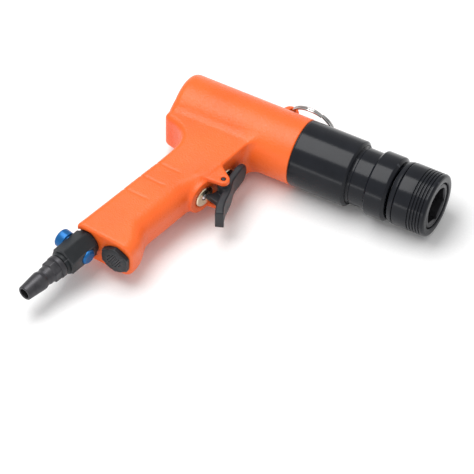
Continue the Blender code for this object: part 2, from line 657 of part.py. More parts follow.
def inlet_valve():
    """Hexagonal shut-off valve body on the grip's base, with the spool that slides across it."""
    at = (INLET_N, 0, 0)
    body = flat("inlet_valve_body", [hexagon(19.0, 30.0)], BASE_FACE_H, BODY_END, GRIP, at,
                colour="black_anodised")
    shoulder = turned("body_shoulder", drum(BODY_END - 1.0, 187.0, 8.2), GRIP, at, steps=32)
    stem = turned("body_stem", drum(144.0, BASE_FACE_H + 1.0, 6.6), GRIP, at, steps=32)
    join(body, shoulder, stem)
    crossing = turned("spool_bore", drum(-15.0, 15.0, SPOOL_BORE_R), GRIP, (INLET_N, 0, SPOOL_H),
                      ACROSS_GRIP, steps=32)
    passage = turned("air_passage", [(190.0, 0.0), (190.0, 5.8), (176.5, 5.8), (176.5, 4.0), (140.0, 4.0),
                                     (140.0, 0.0)], GRIP, at, steps=24)
    cut(body, crossing, passage)
    turned("inlet_gasket", sleeve_outline(BASE_FACE_H - 1.0, BASE_FACE_H - GAP, 9.2, 6.9), GRIP, at,
           colour="rubber")
    spool_at = (INLET_N, 0, SPOOL_H)
    turned("shutoff_spool", [(11.2, 0.0), (11.2, 4.7), (10.4, 5.5), (8.0, 5.5), (8.0, 4.3), (6.6, 4.3),
                             (6.6, 5.5), (4.2, 5.5), (4.2, 3.0), (-4.2, 3.0), (-4.2, 5.5), (-6.6, 5.5),
                             (-6.6, 4.3), (-8.0, 4.3), (-8.0, 5.5), (-9.8, 5.5), (-9.8, 7.0), (-16.0, 7.0),
                             (-16.8, 6.2), (-16.8, 0.0)],
           GRIP, spool_at, ACROSS_GRIP, "blue_anodised", 24)
    for name, station in (("front", 7.3), ("rear", -7.3)):
        turned(f"spool_{name}_seal", sleeve_outline(station - 0.4, station + 0.4, 5.55, 4.6), GRIP, spool_at,
               ACROSS_GRIP, "rubber", 24)


def air_plug():
    """Quick-connect plug: thread in the valve body, collar, spanner land, groove and nose."""
    outer = [(221.9, 4.9), (221.3, 5.5), (206.9, 6.9), (205.2, 6.9), (203.8, 6.15), (201.6, 6.15),
             (200.8, 6.6), (197.3, 6.6), (197.3, 7.35), (191.3, 7.35), (191.3, 8.5), (187.3, 8.5),
             (187.3, 5.5), (177.0, 5.5)]
    turned("air_plug", [*outer, (177.0, 3.75), (221.9, 3.75)], GRIP, (INLET_N, 0, 0),
           colour="black_oxide", steps=24)


def silencer():
    """Hexagonal exhaust plug with a drilled face and a felt behind it."""
    at = (EXHAUST_N, 0, 0)
    face, seat, stem_end = 158.9, 153.6, 145.6
    plug = flat("silencer_plug", [hexagon(17.0, 30.0)], seat, face, GRIP, at, colour="black_anodised")
    stem = turned("silencer_stem", drum(stem_end, seat + 1.0, SILENCER_R), GRIP, at, steps=28)
    join(plug, stem)
    chamber = turned("silencer_chamber", drum(stem_end - 5.0, 156.4, 4.3), GRIP, at, steps=24)
    cut(plug, chamber)
    spots = [(0.0, 0.0), *circle(2.8, 6)]
    holes = [turned("silencer_hole", drum(155.0, 162.0, 0.75), GRIP,
                    (EXHAUST_N + x, y, 0), steps=10) for x, y in spots]
    cut(plug, *holes)
    turned("silencer_felt", drum(146.2, 156.0, 4.0), GRIP, at, colour="felt", steps=20)


# ---------------------------------------------------------------- hanging ring

RING_MEAN_R = 14.3
RING_WIRE = (1.3, 2.6)         # radial and axial size of the doubled wire
RING_LEAN = math.radians(-10.0)


def hanging_ring():
    """Split ring threaded through the lug, standing along the barrel and leaning a little."""
    thick, wide = RING_WIRE
    corner = 0.35
    low, high = -wide / 2, wide / 2
    outer, inner = RING_MEAN_R + thick / 2, RING_MEAN_R - thick / 2
    outline = [(high, outer - corner), (high - corner, outer), (low + corner, outer),
               (low, outer - corner), (low, inner + corner), (low + corner, inner),
               (high - corner, inner), (high, inner + corner)]
    lean = Matrix.Rotation(RING_LEAN, 3, "Z")
    to_top = Matrix.Rotation(math.radians(90.0), 3, "Y")
    centre = (LUG_HOLE[0], 0, LUG_HOLE[1] + RING_MEAN_R)
    turned("hanging_ring", outline, BARREL, centre, lean @ to_top, "bright_steel", 36)


pistol_housing()
gear_case()
nose_housing()
gear_train()
air_motor()
output_spindle()
release_sleeve()
valve("upper", UPPER_VALVE_H)
valve("lower", LOWER_VALVE_H)
trigger()
inlet_valve()
air_plug()
silencer()
hanging_ring()
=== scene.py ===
"""Looks of a pneumatic rivet gun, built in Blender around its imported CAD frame.

The tool lies on its left side. Two local frames carry every shape. In the barrel frame, a point is
(along, up, right): forward of the casting's front edge, above the barrel's axis, and towards the
tool's right side. In the grip frame, a point is (out, right, down): forward out of the grip, towards
the right side, and down the grip from the barrel's axis. Sizes are in millimetres until a mesh is
made.
"""
from __future__ import annotations

import json
import logging
import math
from dataclasses import dataclass, field
from enum import Enum
from typing import Callable, Sequence

import bmesh
import bpy
import numpy as np
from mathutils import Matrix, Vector


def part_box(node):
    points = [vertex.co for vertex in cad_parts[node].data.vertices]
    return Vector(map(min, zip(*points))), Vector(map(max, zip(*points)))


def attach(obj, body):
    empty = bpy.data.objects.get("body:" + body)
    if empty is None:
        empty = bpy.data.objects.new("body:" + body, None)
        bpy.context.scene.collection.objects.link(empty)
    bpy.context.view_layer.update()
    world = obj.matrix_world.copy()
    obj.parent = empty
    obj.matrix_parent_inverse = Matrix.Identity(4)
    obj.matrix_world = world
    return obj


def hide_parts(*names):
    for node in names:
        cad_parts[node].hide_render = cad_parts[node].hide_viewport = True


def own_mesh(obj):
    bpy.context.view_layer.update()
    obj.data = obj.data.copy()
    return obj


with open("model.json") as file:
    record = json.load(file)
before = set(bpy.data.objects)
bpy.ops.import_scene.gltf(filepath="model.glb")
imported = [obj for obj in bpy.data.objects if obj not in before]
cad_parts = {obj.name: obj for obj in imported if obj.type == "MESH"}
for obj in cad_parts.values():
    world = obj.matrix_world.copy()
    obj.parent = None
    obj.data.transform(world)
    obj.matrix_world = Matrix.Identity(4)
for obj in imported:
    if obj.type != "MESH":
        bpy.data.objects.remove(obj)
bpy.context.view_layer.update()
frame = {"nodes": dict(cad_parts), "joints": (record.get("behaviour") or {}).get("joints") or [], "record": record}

logging.basicConfig(level=logging.INFO, format="%(message)s")
LOG = logging.getLogger("rivet_gun")

MM = 0.001
TAU = math.tau
Array = np.ndarray
Outline = tuple[tuple[float, float], ...]
Triple = tuple[float, float, float]
Socket = bpy.types.NodeSocket
Solid = bpy.types.Object

PIVOT = (-14.8, 63.2)                       # the trigger's pin in (out, down)
VALVES = {"upper": 53.2, "lower": 74.7}     # the valves' axes, down the grip
INLET_OUT = -52.9
EXHAUST_OUT = -28.7
BASE_SLOPE = -0.173                         # how far the base rises for each millimetre out
THIRDS = np.radians((0.0, 120.0, 240.0))


# ------------------------------------------------------------------ frames

@dataclass(frozen=True)
class Axes:
    """A local frame: an origin in millimetres and three unit vectors, one per local coordinate."""

    origin: Triple
    first: Triple
    second: Triple
    third: Triple

    def world(self, points: Array) -> Array:
        """Carries local points into the row frame.

        Args:
            points: Array of local coordinates in millimetres, last axis of length 3.

        Returns:
            The same points in the row frame, in metres.
        """
        turn = np.array([self.first, self.second, self.third])
        return (np.asarray(self.origin) + points @ turn) * MM

    def shifted(self, *offset: float) -> Axes:
        """The same frame with its origin moved by a local offset in millimetres."""
        moved = self.world(np.array(offset, float)) / MM
        return Axes(tuple(moved), self.first, self.second, self.third)


def barrel_axes() -> Axes:
    """The barrel frame, read from the gear case: its rear spigot reaches 10 mm into the casting."""
    low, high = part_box("gear_case")
    centre = (low + high) / 2 / MM
    spigot = 10.0
    return Axes((low.x / MM + spigot, centre.y, centre.z), (1, 0, 0), (0, 1, 0), (0, 0, 1))


def grip_axes(barrel: Axes) -> Axes:
    """The grip frame, whose outward direction is the travel of the upper valve's stem."""
    travel = next(j for j in frame["joints"] if j["name"] == "upper_stem_slide")["axis"]
    out = Vector(travel).normalized()
    down = out.cross(Vector((0, 0, 1)))
    return Axes(barrel.origin, tuple(out), (0, 0, 1), tuple(down))


BARREL = barrel_axes()
GRIP = grip_axes(BARREL)


# ------------------------------------------------------------------ finishes

class NodeBench:
    """Short calls for building one material's nodes on Object coordinates."""

    def __init__(self, name: str) -> None:
        """Starts a material with one Principled shader.

        Args:
            name: Name of the material.
        """
        self.material = bpy.data.materials.new(name)
        self.material.use_nodes = True
        self.tree = self.material.node_tree
        self.shader = self.tree.nodes["Principled BSDF"]
        self.place = self.add("ShaderNodeTexCoord").outputs["Object"]

    def add(self, kind: str, **settings: object) -> bpy.types.Node:
        """Adds a node and sets its properties."""
        node = self.tree.nodes.new(kind)
        for key, value in settings.items():
            setattr(node, key, value)
        return node

    def link(self, source: Socket, target: Socket) -> None:
        """Joins two sockets."""
        self.tree.links.new(source, target)

    def noise(self, size_mm: float, detail: float = 3.0, rough: float = 0.55,
              stretch: Triple = (1, 1, 1)) -> Socket:
        """Noise whose grains are about size_mm across.

        Args:
            size_mm: Size of a grain.
            detail: Octaves of finer noise.
            rough: Strength of the finer octaves.
            stretch: Scale along each axis.

        Returns:
            The noise's factor socket.
        """
        node = self.add("ShaderNodeTexNoise")
        node.inputs["Scale"].default_value = 1.0 / (size_mm * MM)
        node.inputs["Detail"].default_value = detail
        node.inputs["Roughness"].default_value = rough
        where = self.place
        if stretch != (1, 1, 1):
            mapping = self.add("ShaderNodeMapping")
            mapping.inputs["Scale"].default_value = stretch
            self.link(where, mapping.inputs["Vector"])
            where = mapping.outputs["Vector"]
        self.link(where, node.inputs["Vector"])
        return node.outputs["Fac"]

    def rings(self, axis: Sequence[float], size_mm: float, detail: float = 4.0) -> Socket:
        """Noise that changes only along an axis, like the marks of a turning tool.

        Args:
            axis: Direction of the turned piece's axis.
            size_mm: Width of a mark.
            detail: Octaves of finer marks.

        Returns:
            The noise's factor socket.
        """
        along = self.add("ShaderNodeVectorMath", operation="DOT_PRODUCT")
        along.inputs[1].default_value = axis
        self.link(self.place, along.inputs[0])
        node = self.add("ShaderNodeTexNoise", noise_dimensions="1D")
        node.inputs["Scale"].default_value = 1.0 / (size_mm * MM)
        node.inputs["Detail"].default_value = detail
        self.link(along.outputs["Value"], node.inputs["W"])
        return node.outputs["Fac"]

    def span(self, source: Socket, low: float, high: float,
             start: float = 0.3, end: float = 0.7) -> Socket:
        """Stretches a factor from start..end to low..high."""
        node = self.add("ShaderNodeMapRange")
        for key, value in (("From Min", start), ("From Max", end), ("To Min", low), ("To Max", high)):
            node.inputs[key].default_value = value
        self.link(source, node.inputs["Value"])
        return node.outputs["Result"]

    def blend(self, factor: Socket, first: Triple | Socket, second: Triple | Socket) -> Socket:
        """A colour that goes from first to second with the factor; each is a colour or a socket."""
        node = self.add("ShaderNodeMix", data_type="RGBA")
        self.link(factor, node.inputs["Factor"])
        for socket, value in ((node.inputs[6], first), (node.inputs[7], second)):
            if isinstance(value, Socket):
                self.link(value, socket)
            else:
                socket.default_value = (*value, 1.0)
        return node.outputs[2]

    def edges(self, start: float = 0.515, end: float = 0.56) -> Socket:
        """A factor that rises where the surface is sharply convex, for edges painted lighter: part wear, part
        painted highlight.
        """
        geometry = self.add("ShaderNodeNewGeometry")
        return self.span(geometry.outputs["Pointiness"], 0.0, 1.0, start, end)

    def relief(self, *layers: tuple[Socket, float]) -> None:
        """Adds bumps to the shader's normal.

        Args:
            layers: Pairs of a height factor and its height in millimetres.
        """
        normal = None
        for height, depth_mm in layers:
            bump = self.add("ShaderNodeBump")
            bump.inputs["Strength"].default_value = 1.0
            bump.inputs["Distance"].default_value = depth_mm * MM
            self.link(height, bump.inputs["Height"])
            if normal is not None:
                self.link(normal, bump.inputs["Normal"])
            normal = bump.outputs["Normal"]
        self.link(normal, self.shader.inputs["Normal"])

    def set(self, **values: float) -> None:
        """Sets the shader's own sockets; an underscore in a name stands for a space."""
        for key, value in values.items():
            self.shader.inputs[key.replace("_", " ")].default_value = value

    def colour(self, source: Socket) -> None:
        """Links the base colour."""
        self.link(source, self.shader.inputs["Base Color"])

    def roughness(self, source: Socket) -> None:
        """Links the roughness."""
        self.link(source, self.shader.inputs["Roughness"])


@dataclass(frozen=True)
class PowderCoat:
    """Orange powder paint: a fine pebbled skin with a soft gloss."""

    name: str = "orange_powder_coat"
    colour: Triple = (0.90, 0.142, 0.021)
    deep: Triple = (0.85, 0.116, 0.014)
    pebble_mm: float = 1.1
    pebble_depth: float = 0.3

    def build(self) -> bpy.types.Material:
        """Makes the material."""
        bench = NodeBench(self.name)
        pebbles = bench.noise(self.pebble_mm, 2.0, 0.5)
        waves = bench.noise(5.0, 2.0, 0.4)
        drift = bench.noise(40.0, 3.0, 0.5)
        bench.colour(bench.blend(bench.span(drift, 0.0, 1.0), self.deep, self.colour))
        bench.roughness(bench.span(pebbles, 0.26, 0.4))
        bench.relief((pebbles, self.pebble_depth), (waves, 0.06))
        bench.set(Specular_IOR_Level=0.36)
        return bench.material


@dataclass(frozen=True)
class Anodised:
    """Turned aluminium, anodised and glossy, with faint tool marks round the axis and convex edges painted
    lighter, part wear and part painted highlight.
    """

    name: str
    axis: Triple
    colour: Triple = (0.008, 0.009, 0.012)
    # Colour of convex edges: part wear, part painted highlight.
    edge_wear_and_highlight: Triple = (0.04, 0.042, 0.05)
    gloss: tuple[float, float] = (0.15, 0.21)
    metallic: float = 0.0
    shine: float = 0.2

    def build(self) -> bpy.types.Material:
        """Makes the material."""
        bench = NodeBench(self.name)
        marks = bench.rings(self.axis, 0.8, 2.0)
        cloud = bench.noise(9.0, 4.0, 0.6)
        tint = bench.blend(bench.span(cloud, 0.0, 1.0), self.colour,
                           tuple(1.35 * channel for channel in self.colour))
        # Convex edges are painted lighter: part wear, part painted highlight.
        bench.colour(bench.blend(bench.edges(), tint, self.edge_wear_and_highlight))
        bench.roughness(bench.span(marks, *self.gloss))
        bench.relief((cloud, 0.004))
        bench.set(Metallic=self.metallic, Specular_IOR_Level=self.shine)
        return bench.material


@dataclass(frozen=True)
class Moulded:
    """Black moulded plastic: satin, with a fine spark-eroded grain."""

    name: str = "black_moulding"
    colour: Triple = (0.013, 0.014, 0.017)
    grain_mm: float = 0.3

    def build(self) -> bpy.types.Material:
        """Makes the material."""
        bench = NodeBench(self.name)
        grain = bench.noise(self.grain_mm, 3.0, 0.6)
        cloud = bench.noise(12.0, 3.0, 0.5)
        bench.colour(bench.blend(bench.span(cloud, 0.0, 1.0), self.colour,
                                 tuple(1.5 * channel for channel in self.colour)))
        bench.roughness(bench.span(grain, 0.36, 0.52))
        bench.relief((grain, 0.012), (cloud, 0.02))
        bench.set(Specular_IOR_Level=0.36)
        return bench.material


@dataclass(frozen=True)
class Metal:
    """Bare, plated or blackened metal with tool marks along one axis and a little wear."""

    name: str
    axis: Triple
    colour: Triple
    shade: Triple
    gloss: tuple[float, float] = (0.18, 0.34)
    metallic: float = 1.0
    mark_mm: float = 0.25
    mark_depth: float = 0.004
    blotch_mm: float = 6.0

    def build(self) -> bpy.types.Material:
        """Makes the material."""
        bench = NodeBench(self.name)
        marks = bench.rings(self.axis, self.mark_mm)
        blotch = bench.noise(self.blotch_mm, 5.0, 0.62)
        bench.colour(bench.blend(bench.span(blotch, 0.0, 1.0), self.shade, self.colour))
        total = bench.add("ShaderNodeMath", operation="ADD")
        bench.link(bench.span(marks, 0.0, self.gloss[1] - self.gloss[0]), total.inputs[0])
        bench.link(bench.span(blotch, self.gloss[0], self.gloss[0] + 0.08), total.inputs[1])
        bench.roughness(total.outputs[0])
        bench.relief((marks, self.mark_depth), (blotch, 0.006))
        bench.set(Metallic=self.metallic)
        return bench.material


@dataclass(frozen=True)
class Fibrous:
    """Felt, rubber or laminate: a matt body with a coarse and a fine mottling."""

    name: str
    colour: Triple
    shade: Triple
    fibre_mm: float = 0.25
    depth: float = 0.05
    rough: tuple[float, float] = (0.75, 0.95)

    def build(self) -> bpy.types.Material:
        """Makes the material."""
        bench = NodeBench(self.name)
        fibre = bench.noise(self.fibre_mm, 4.0, 0.65, (1.0, 0.35, 1.0))
        bench.colour(bench.blend(bench.span(fibre, 0.0, 1.0), self.shade, self.colour))
        bench.roughness(bench.span(fibre, *self.rough))
        bench.relief((fibre, self.depth))
        return bench.material


class Finish(Enum):
    """The finishes of the tool."""

    PAINT = "orange_paint"
    BLACK_BARREL = "black_anodised"
    BLACK_INLET = "black_anodised_inlet"
    PLASTIC = "black_plastic"
    OXIDE_BARREL = "black_oxide"
    OXIDE_PLUG = "black_oxide_plug"
    BRIGHT = "bright_steel"
    NICKEL = "chrome"
    CUT = "cut_steel"
    ZINC = "yellow_zinc"
    BLUE = "blue_anodised"
    RUBBER = "rubber"
    FELT = "felt"
    LAMINATE = "composite"


FORWARD = BARREL.first
DOWN = GRIP.third
OUT = GRIP.first
RECIPES = {
    Finish.PAINT: PowderCoat(),
    Finish.BLACK_BARREL: Anodised("black_anodised_barrel", FORWARD),
    Finish.BLACK_INLET: Anodised("black_anodised_inlet", DOWN, (0.015, 0.017, 0.019),
                                 (0.06, 0.06, 0.065), (0.34, 0.46)),
    Finish.PLASTIC: Moulded(),
    Finish.OXIDE_BARREL: Metal("black_oxide_spindle", FORWARD, (0.05, 0.05, 0.055),
                               (0.028, 0.028, 0.032), (0.24, 0.4), 0.7),
    Finish.OXIDE_PLUG: Metal("dark_steel_plug", DOWN, (0.075, 0.073, 0.078), (0.045, 0.044, 0.05),
                             (0.3, 0.46), 0.75, 0.4, 0.012),
    Finish.BRIGHT: Metal("ground_steel", FORWARD, (0.66, 0.66, 0.67), (0.52, 0.52, 0.54)),
    Finish.NICKEL: Metal("bright_nickel", (0, 1, 0), (0.5, 0.49, 0.48), (0.36, 0.355, 0.35),
                         (0.06, 0.16)),
    Finish.CUT: Metal("machined_steel", FORWARD, (0.5, 0.5, 0.51), (0.36, 0.36, 0.38), (0.28, 0.45)),
    Finish.ZINC: Metal("yellow_zinc_plate", OUT, (0.86, 0.77, 0.54), (0.74, 0.66, 0.48), (0.16, 0.3)),
    Finish.BLUE: Anodised("blue_anodised", OUT, (0.012, 0.1, 0.28), (0.06, 0.2, 0.42), (0.2, 0.32),
                          0.4),
    Finish.RUBBER: Fibrous("nitrile_rubber", (0.024, 0.024, 0.025), (0.014, 0.014, 0.015), 0.5, 0.01,
                           (0.55, 0.7)),
    Finish.FELT: Fibrous("pressed_felt", (0.5, 0.47, 0.4), (0.3, 0.28, 0.24)),
    Finish.LAMINATE: Fibrous("vane_laminate", (0.26, 0.14, 0.06), (0.14, 0.07, 0.03), 0.4, 0.01,
                             (0.45, 0.6)),
}
MATERIALS: dict[Finish, bpy.types.Material] = {}


def material_of(finish: Finish) -> bpy.types.Material:
    """The finish's material, made on its first use."""
    if finish not in MATERIALS:
        MATERIALS[finish] = RECIPES[finish].build()
    return MATERIALS[finish]


# ------------------------------------------------------------------ meshes

def mesh_piece(name: str, points: Array, faces: Array, finish: Finish) -> Solid:
    """Makes an object from world points and faces of three or four corners.

    Args:
        name: Name of the piece.
        points: Vertices in metres in the row frame.
        faces: Corner indices, one row per face.
        finish: The piece's finish.

    Returns:
        The object, at the origin and shaded smooth.
    """
    mesh = bpy.data.meshes.new(name)
    mesh.vertices.add(len(points))
    mesh.vertices.foreach_set("co", np.ascontiguousarray(points, np.float32).ravel())
    corners = faces.shape[1]
    mesh.loops.add(faces.size)
    mesh.loops.foreach_set("vertex_index", np.ascontiguousarray(faces, np.int32).ravel())
    mesh.polygons.add(len(faces))
    mesh.polygons.foreach_set("loop_start", np.arange(0, faces.size, corners, dtype=np.int32))
    mesh.update(calc_edges=True)
    mesh.validate()
    mesh.polygons.foreach_set("use_smooth", np.ones(len(mesh.polygons), bool))
    mesh.materials.append(material_of(finish))
    piece = bpy.data.objects.new(name, mesh)
    bpy.context.scene.collection.objects.link(piece)
    return piece


def close_up(piece: Solid, merge_mm: float = 0.0005) -> None:
    """Merges coincident vertices, drops what collapses and turns the faces outward.

    Args:
        piece: The piece to close.
        merge_mm: Vertices nearer than this become one.
    """
    shape = bmesh.new()
    shape.from_mesh(piece.data)
    bmesh.ops.remove_doubles(shape, verts=shape.verts, dist=merge_mm * MM)
    bmesh.ops.dissolve_degenerate(shape, edges=shape.edges, dist=1e-8)
    bmesh.ops.recalc_face_normals(shape, faces=shape.faces)
    if shape.calc_volume(signed=True) < 0:
        bmesh.ops.reverse_faces(shape, faces=shape.faces)
    shape.to_mesh(piece.data)
    shape.free()


def grid_faces(rows: int, columns: int, wrap_rows: bool) -> Array:
    """Quads of a grid of rows and columns, each row of which closes on itself.

    Args:
        rows: Number of rows of vertices.
        columns: Number of vertices in a row.
        wrap_rows: Whether the last row joins the first.

    Returns:
        Corner indices, one quad per row of the array.
    """
    i = np.arange(rows if wrap_rows else rows - 1)[:, None]
    j = np.arange(columns)[None, :]
    i2, j2 = (i + 1) % rows, (j + 1) % columns
    quad = (i * columns + j, i * columns + j2, i2 * columns + j2, i2 * columns + j)
    return np.stack(np.broadcast_arrays(*quad), -1).reshape(-1, 4)


class Row(Enum):
    """How a station of a turned profile goes round: as a circle or as a hexagon."""

    ROUND = 0
    HEX = 1


Station = tuple[float, float] | tuple[float, float, Row]


def soften(stations: Sequence[Station], radius: float, closed: bool, steps: int = 4) -> Array:
    """Rounds every corner of a profile with a small arc.

    Each corner is left for a point at most radius (and a third of the shorter side) before it, and
    joined again as far after it, along a quadratic curve whose middle control point is the corner.

    Args:
        stations: Profile as (along, radius) or (along, radius, Row).
        radius: How far the rounding reaches along each side.
        closed: Whether the profile's last station joins its first.
        steps: Pieces in each corner's curve.

    Returns:
        Rows of (along, radius, hexness).
    """
    kinds = [s[2] if len(s) > 2 else Row.ROUND for s in stations]
    rows = np.array([(s[0], s[1], kind.value) for s, kind in zip(stations, kinds)], float)
    before, after = np.roll(rows, 1, 0), np.roll(rows, -1, 0)
    side_in = np.linalg.norm((rows - before)[:, :2], axis=1)
    side_out = np.linalg.norm((after - rows)[:, :2], axis=1)
    reach = np.minimum(radius, np.minimum(side_in, side_out) / 3.0)[:, None]
    start = rows + (before - rows) * reach / np.maximum(side_in, 1e-9)[:, None]
    end = rows + (after - rows) * reach / np.maximum(side_out, 1e-9)[:, None]
    t = np.linspace(0.0, 1.0, steps + 1)[None, :, None]
    curve = (1 - t) ** 2 * start[:, None] + 2 * t * (1 - t) * rows[:, None] + t ** 2 * end[:, None]
    if closed:
        return curve.reshape(-1, 3)
    inner = curve[1:-1].reshape(-1, 3)
    return np.vstack([rows[:1], inner, rows[-1:]])


def hex_factor(angle: Array) -> Array:
    """How far a hexagon's edge lies beyond its flats' distance: one over the cosine of the angle from
    the nearest flat's middle, held back near the corner so that the corner is slightly rounded."""
    off = (angle + math.pi / 6) % (math.pi / 3) - math.pi / 6
    raw = 1.0 / np.cos(off)
    cap = 0.985 * 2.0 / math.sqrt(3.0)
    width = 0.012
    return -width * np.logaddexp(-raw / width, -cap / width)


def hexed(profile: Array, flat: float, from_r: float, around: int) -> Array:
    """Local points of a profile turned about the third axis, held inside a hexagon where it is wide.

    Args:
        profile: Rows of (along, radius, hexness).
        flat: Half the hexagon's width across flats.
        from_r: Radius beyond which the hexagon holds the profile in.
        around: Steps round the axis.

    Returns:
        The points, one row each.
    """
    angle = np.arange(around) * TAU / around
    hexagon = flat * hex_factor(angle)
    radius = np.minimum(profile[:, 1:2], np.where(profile[:, 1:2] > from_r, hexagon[None, :], 99.0))
    along = np.broadcast_to(profile[:, :1], radius.shape)
    return np.stack([radius * np.cos(angle), radius * np.sin(angle), along], -1).reshape(-1, 3)


def turned(name: str, axes: Axes, stations: Sequence[Station], finish: Finish, closed: bool = True,
           around: int = 160, round_mm: float = 0.35, across: str = "first") -> Solid:
    """A surface of revolution, with hexagonal stretches where a station says so.

    The surface is the profile carried round the axis: at angle a and station s, a point lies at
    radius r(s) times one, or times the hexagon's factor at a, along the axis by x(s).

    Args:
        name: Name of the piece.
        axes: Frame whose axis named by across is the axis of turning.
        stations: Profile of (along, radius), in order round the section.
        finish: The piece's finish.
        closed: True for a ring, whose profile closes; False where both ends lie on the axis.
        around: Steps round the axis.
        round_mm: Rounding of the profile's corners.
        across: Which of the frame's axes is the axis of turning: "first" or "third".

    Returns:
        The finished piece.
    """
    profile = soften(stations, round_mm, closed)
    angle = np.arange(around) * TAU / around
    stretch = 1.0 + profile[:, 2:3] * (hex_factor(angle)[None, :] - 1.0)
    radius = profile[:, 1:2] * stretch
    along = np.broadcast_to(profile[:, 0:1], radius.shape)
    if across == "first":
        local = np.stack([along, radius * np.cos(angle), radius * np.sin(angle)], -1)
    else:
        local = np.stack([radius * np.cos(angle), radius * np.sin(angle), along], -1)
    points = axes.world(local.reshape(-1, 3))
    piece = mesh_piece(name, points, grid_faces(len(profile), around, closed), finish)
    close_up(piece)
    piece.data.set_sharp_from_angle(angle=math.radians(50.0))
    return piece


def fit(node: str, body: str, name: str, axes: Axes, stations: Sequence[Station], finish: Finish,
        closed: bool = True, around: int = 160, round_mm: float = 0.35,
        across: str = "first") -> None:
    """Makes a turned piece and places it on its body, in place of its CAD node."""
    place(turned(name, axes, stations, finish, closed, around, round_mm, across), body, finish, node)


def swept(name: str, axes: Axes, path: Array, section: Array, finish: Finish,
          up: Triple) -> Solid:
    """A section carried along a path, with its two ends filled.

    At each path point the section's two coordinates are laid along the side and lift directions. The
    side is the path's direction crossed with up, and the lift is the side crossed with the direction.

    Args:
        name: Name of the piece.
        axes: Frame of the path.
        path: Points along the path in local millimetres.
        section: Outline of the section as (side, lift) pairs.
        finish: The piece's finish.
        up: Local direction that the section's lift leans towards.

    Returns:
        The finished piece.
    """
    along = np.gradient(path, axis=0)
    along /= np.linalg.norm(along, axis=1, keepdims=True)
    side = np.cross(along, np.asarray(up, float))
    side /= np.linalg.norm(side, axis=1, keepdims=True)
    lift = np.cross(side, along)
    local = (path[:, None] + section[None, :, :1] * side[:, None]
             + section[None, :, 1:] * lift[:, None])
    points = axes.world(local.reshape(-1, 3))
    piece = mesh_piece(name, points, grid_faces(len(path), len(section), False), finish)
    shape = bmesh.new()
    shape.from_mesh(piece.data)
    bmesh.ops.holes_fill(shape, edges=shape.edges)
    shape.to_mesh(piece.data)
    shape.free()
    close_up(piece)
    piece.data.set_sharp_from_angle(angle=math.radians(50.0))
    return piece


def carve(piece: Solid, cutters: Sequence[Solid]) -> None:
    """Cuts the cutters out of the piece and removes them.

    Args:
        piece: The piece that is cut.
        cutters: Closed objects that go.
    """
    for cutter in cutters:
        hole = piece.modifiers.new("cut", "BOOLEAN")
        hole.operation = "DIFFERENCE"
        hole.solver = "EXACT"
        hole.object = cutter
    bpy.context.view_layer.update()
    result = piece.evaluated_get(bpy.context.evaluated_depsgraph_get())
    carved = bpy.data.meshes.new_from_object(result)
    piece.modifiers.clear()
    piece.data = carved
    carved.set_sharp_from_angle(angle=math.radians(40.0))
    for cutter in cutters:
        bpy.data.objects.remove(cutter, do_unlink=True)


def bar(axes: Axes, low: float, high: float, radius: float, across: str = "third",
        steps: int = 48) -> Solid:
    """A plain round cutter along one of a frame's axes."""
    stations = [(high, 0.0), (high, radius), (low, radius), (low, 0.0)]
    return turned("cutter", axes, stations, Finish.CUT, False, steps, 0.0, across)


# ------------------------------------------------------------------ solids from distance fields

Field = Callable[[Array, Array, Array], Array]


def both(first: Array, second: Array, radius: float | Array = 0.0) -> Array:
    """The common part of two solids, whose edges are rounded: the larger distance, or near an edge the
    length of the two distances' overlap with the rounding radius."""
    if np.isscalar(radius) and radius == 0.0:
        return np.maximum(first, second)
    overlap = np.sqrt(np.maximum(first + radius, 0) ** 2 + np.maximum(second + radius, 0) ** 2)
    return np.minimum(np.maximum(first, second), -radius) + overlap


def either(first: Array, second: Array, radius: float | Array = 0.0) -> Array:
    """Two solids grown together, with a fillet in the corner between them."""
    return -both(-first, -second, radius)


def less(first: Array, second: Array, radius: float | Array = 0.0) -> Array:
    """The first solid with the second taken out, and a rounded rim."""
    return both(first, -second, radius)


def within(outline: Array, x: Array, y: Array) -> Array:
    """Signed distance from points to a closed outline: the least distance to any side, taken negative
    where the sides' crossings of a ray from the point are odd in number.

    Args:
        outline: Corners of the outline, one row each.
        x: First coordinates.
        y: Second coordinates.

    Returns:
        The distance, below zero inside.
    """
    nearest = np.full(np.broadcast(x, y).shape, 1e9)
    inside = np.zeros(nearest.shape, bool)
    for (ax, ay), (bx, by) in zip(outline, np.roll(outline, -1, 0)):
        ex, ey = bx - ax, by - ay
        px, py = x - ax, y - ay
        t = np.clip((px * ex + py * ey) / (ex * ex + ey * ey), 0.0, 1.0)
        nearest = np.minimum(nearest, (px - ex * t) ** 2 + (py - ey * t) ** 2)
        crosses = (ay > y) != (by > y)
        slope = ex / (ey if ey else 1e-9)
        inside ^= crosses & (px < slope * py)
    return np.where(inside, -1.0, 1.0) * np.sqrt(nearest)


def spline(corners: Array, per_side: int) -> Array:
    """A Catmull-Rom curve from the second corner up to the last but one, which it leaves out."""
    a, b, c, d = (corners[k:len(corners) - 3 + k][:, None] for k in range(4))
    t = (np.arange(per_side) / per_side)[None, :, None]
    curve = 0.5 * (2 * b + (c - a) * t + (2 * a - 5 * b + 4 * c - d) * t ** 2
                   + (3 * b - a - 3 * c + d) * t ** 3)
    return curve.reshape(-1, 2)


def smooth_outline(corners: Outline, per_side: int = 6) -> Array:
    """A closed curve through the corners."""
    p = np.array(corners)
    return spline(np.vstack([p[-1:], p, p[:2]]), per_side)


def open_curve(corners: Outline, per_side: int = 5) -> Array:
    """A curve through the corners, ends included."""
    p = np.array(corners)
    padded = np.vstack([2 * p[0] - p[1], p, 2 * p[-1] - p[-2]])
    return np.vstack([spline(padded, per_side), p[-1:]])


def smooth_step(value: Array, low: float, high: float) -> Array:
    """Rises smoothly from 0 at low to 1 at high."""
    share = np.clip((value - low) / (high - low), 0.0, 1.0)
    return share * share * (3 - 2 * share)


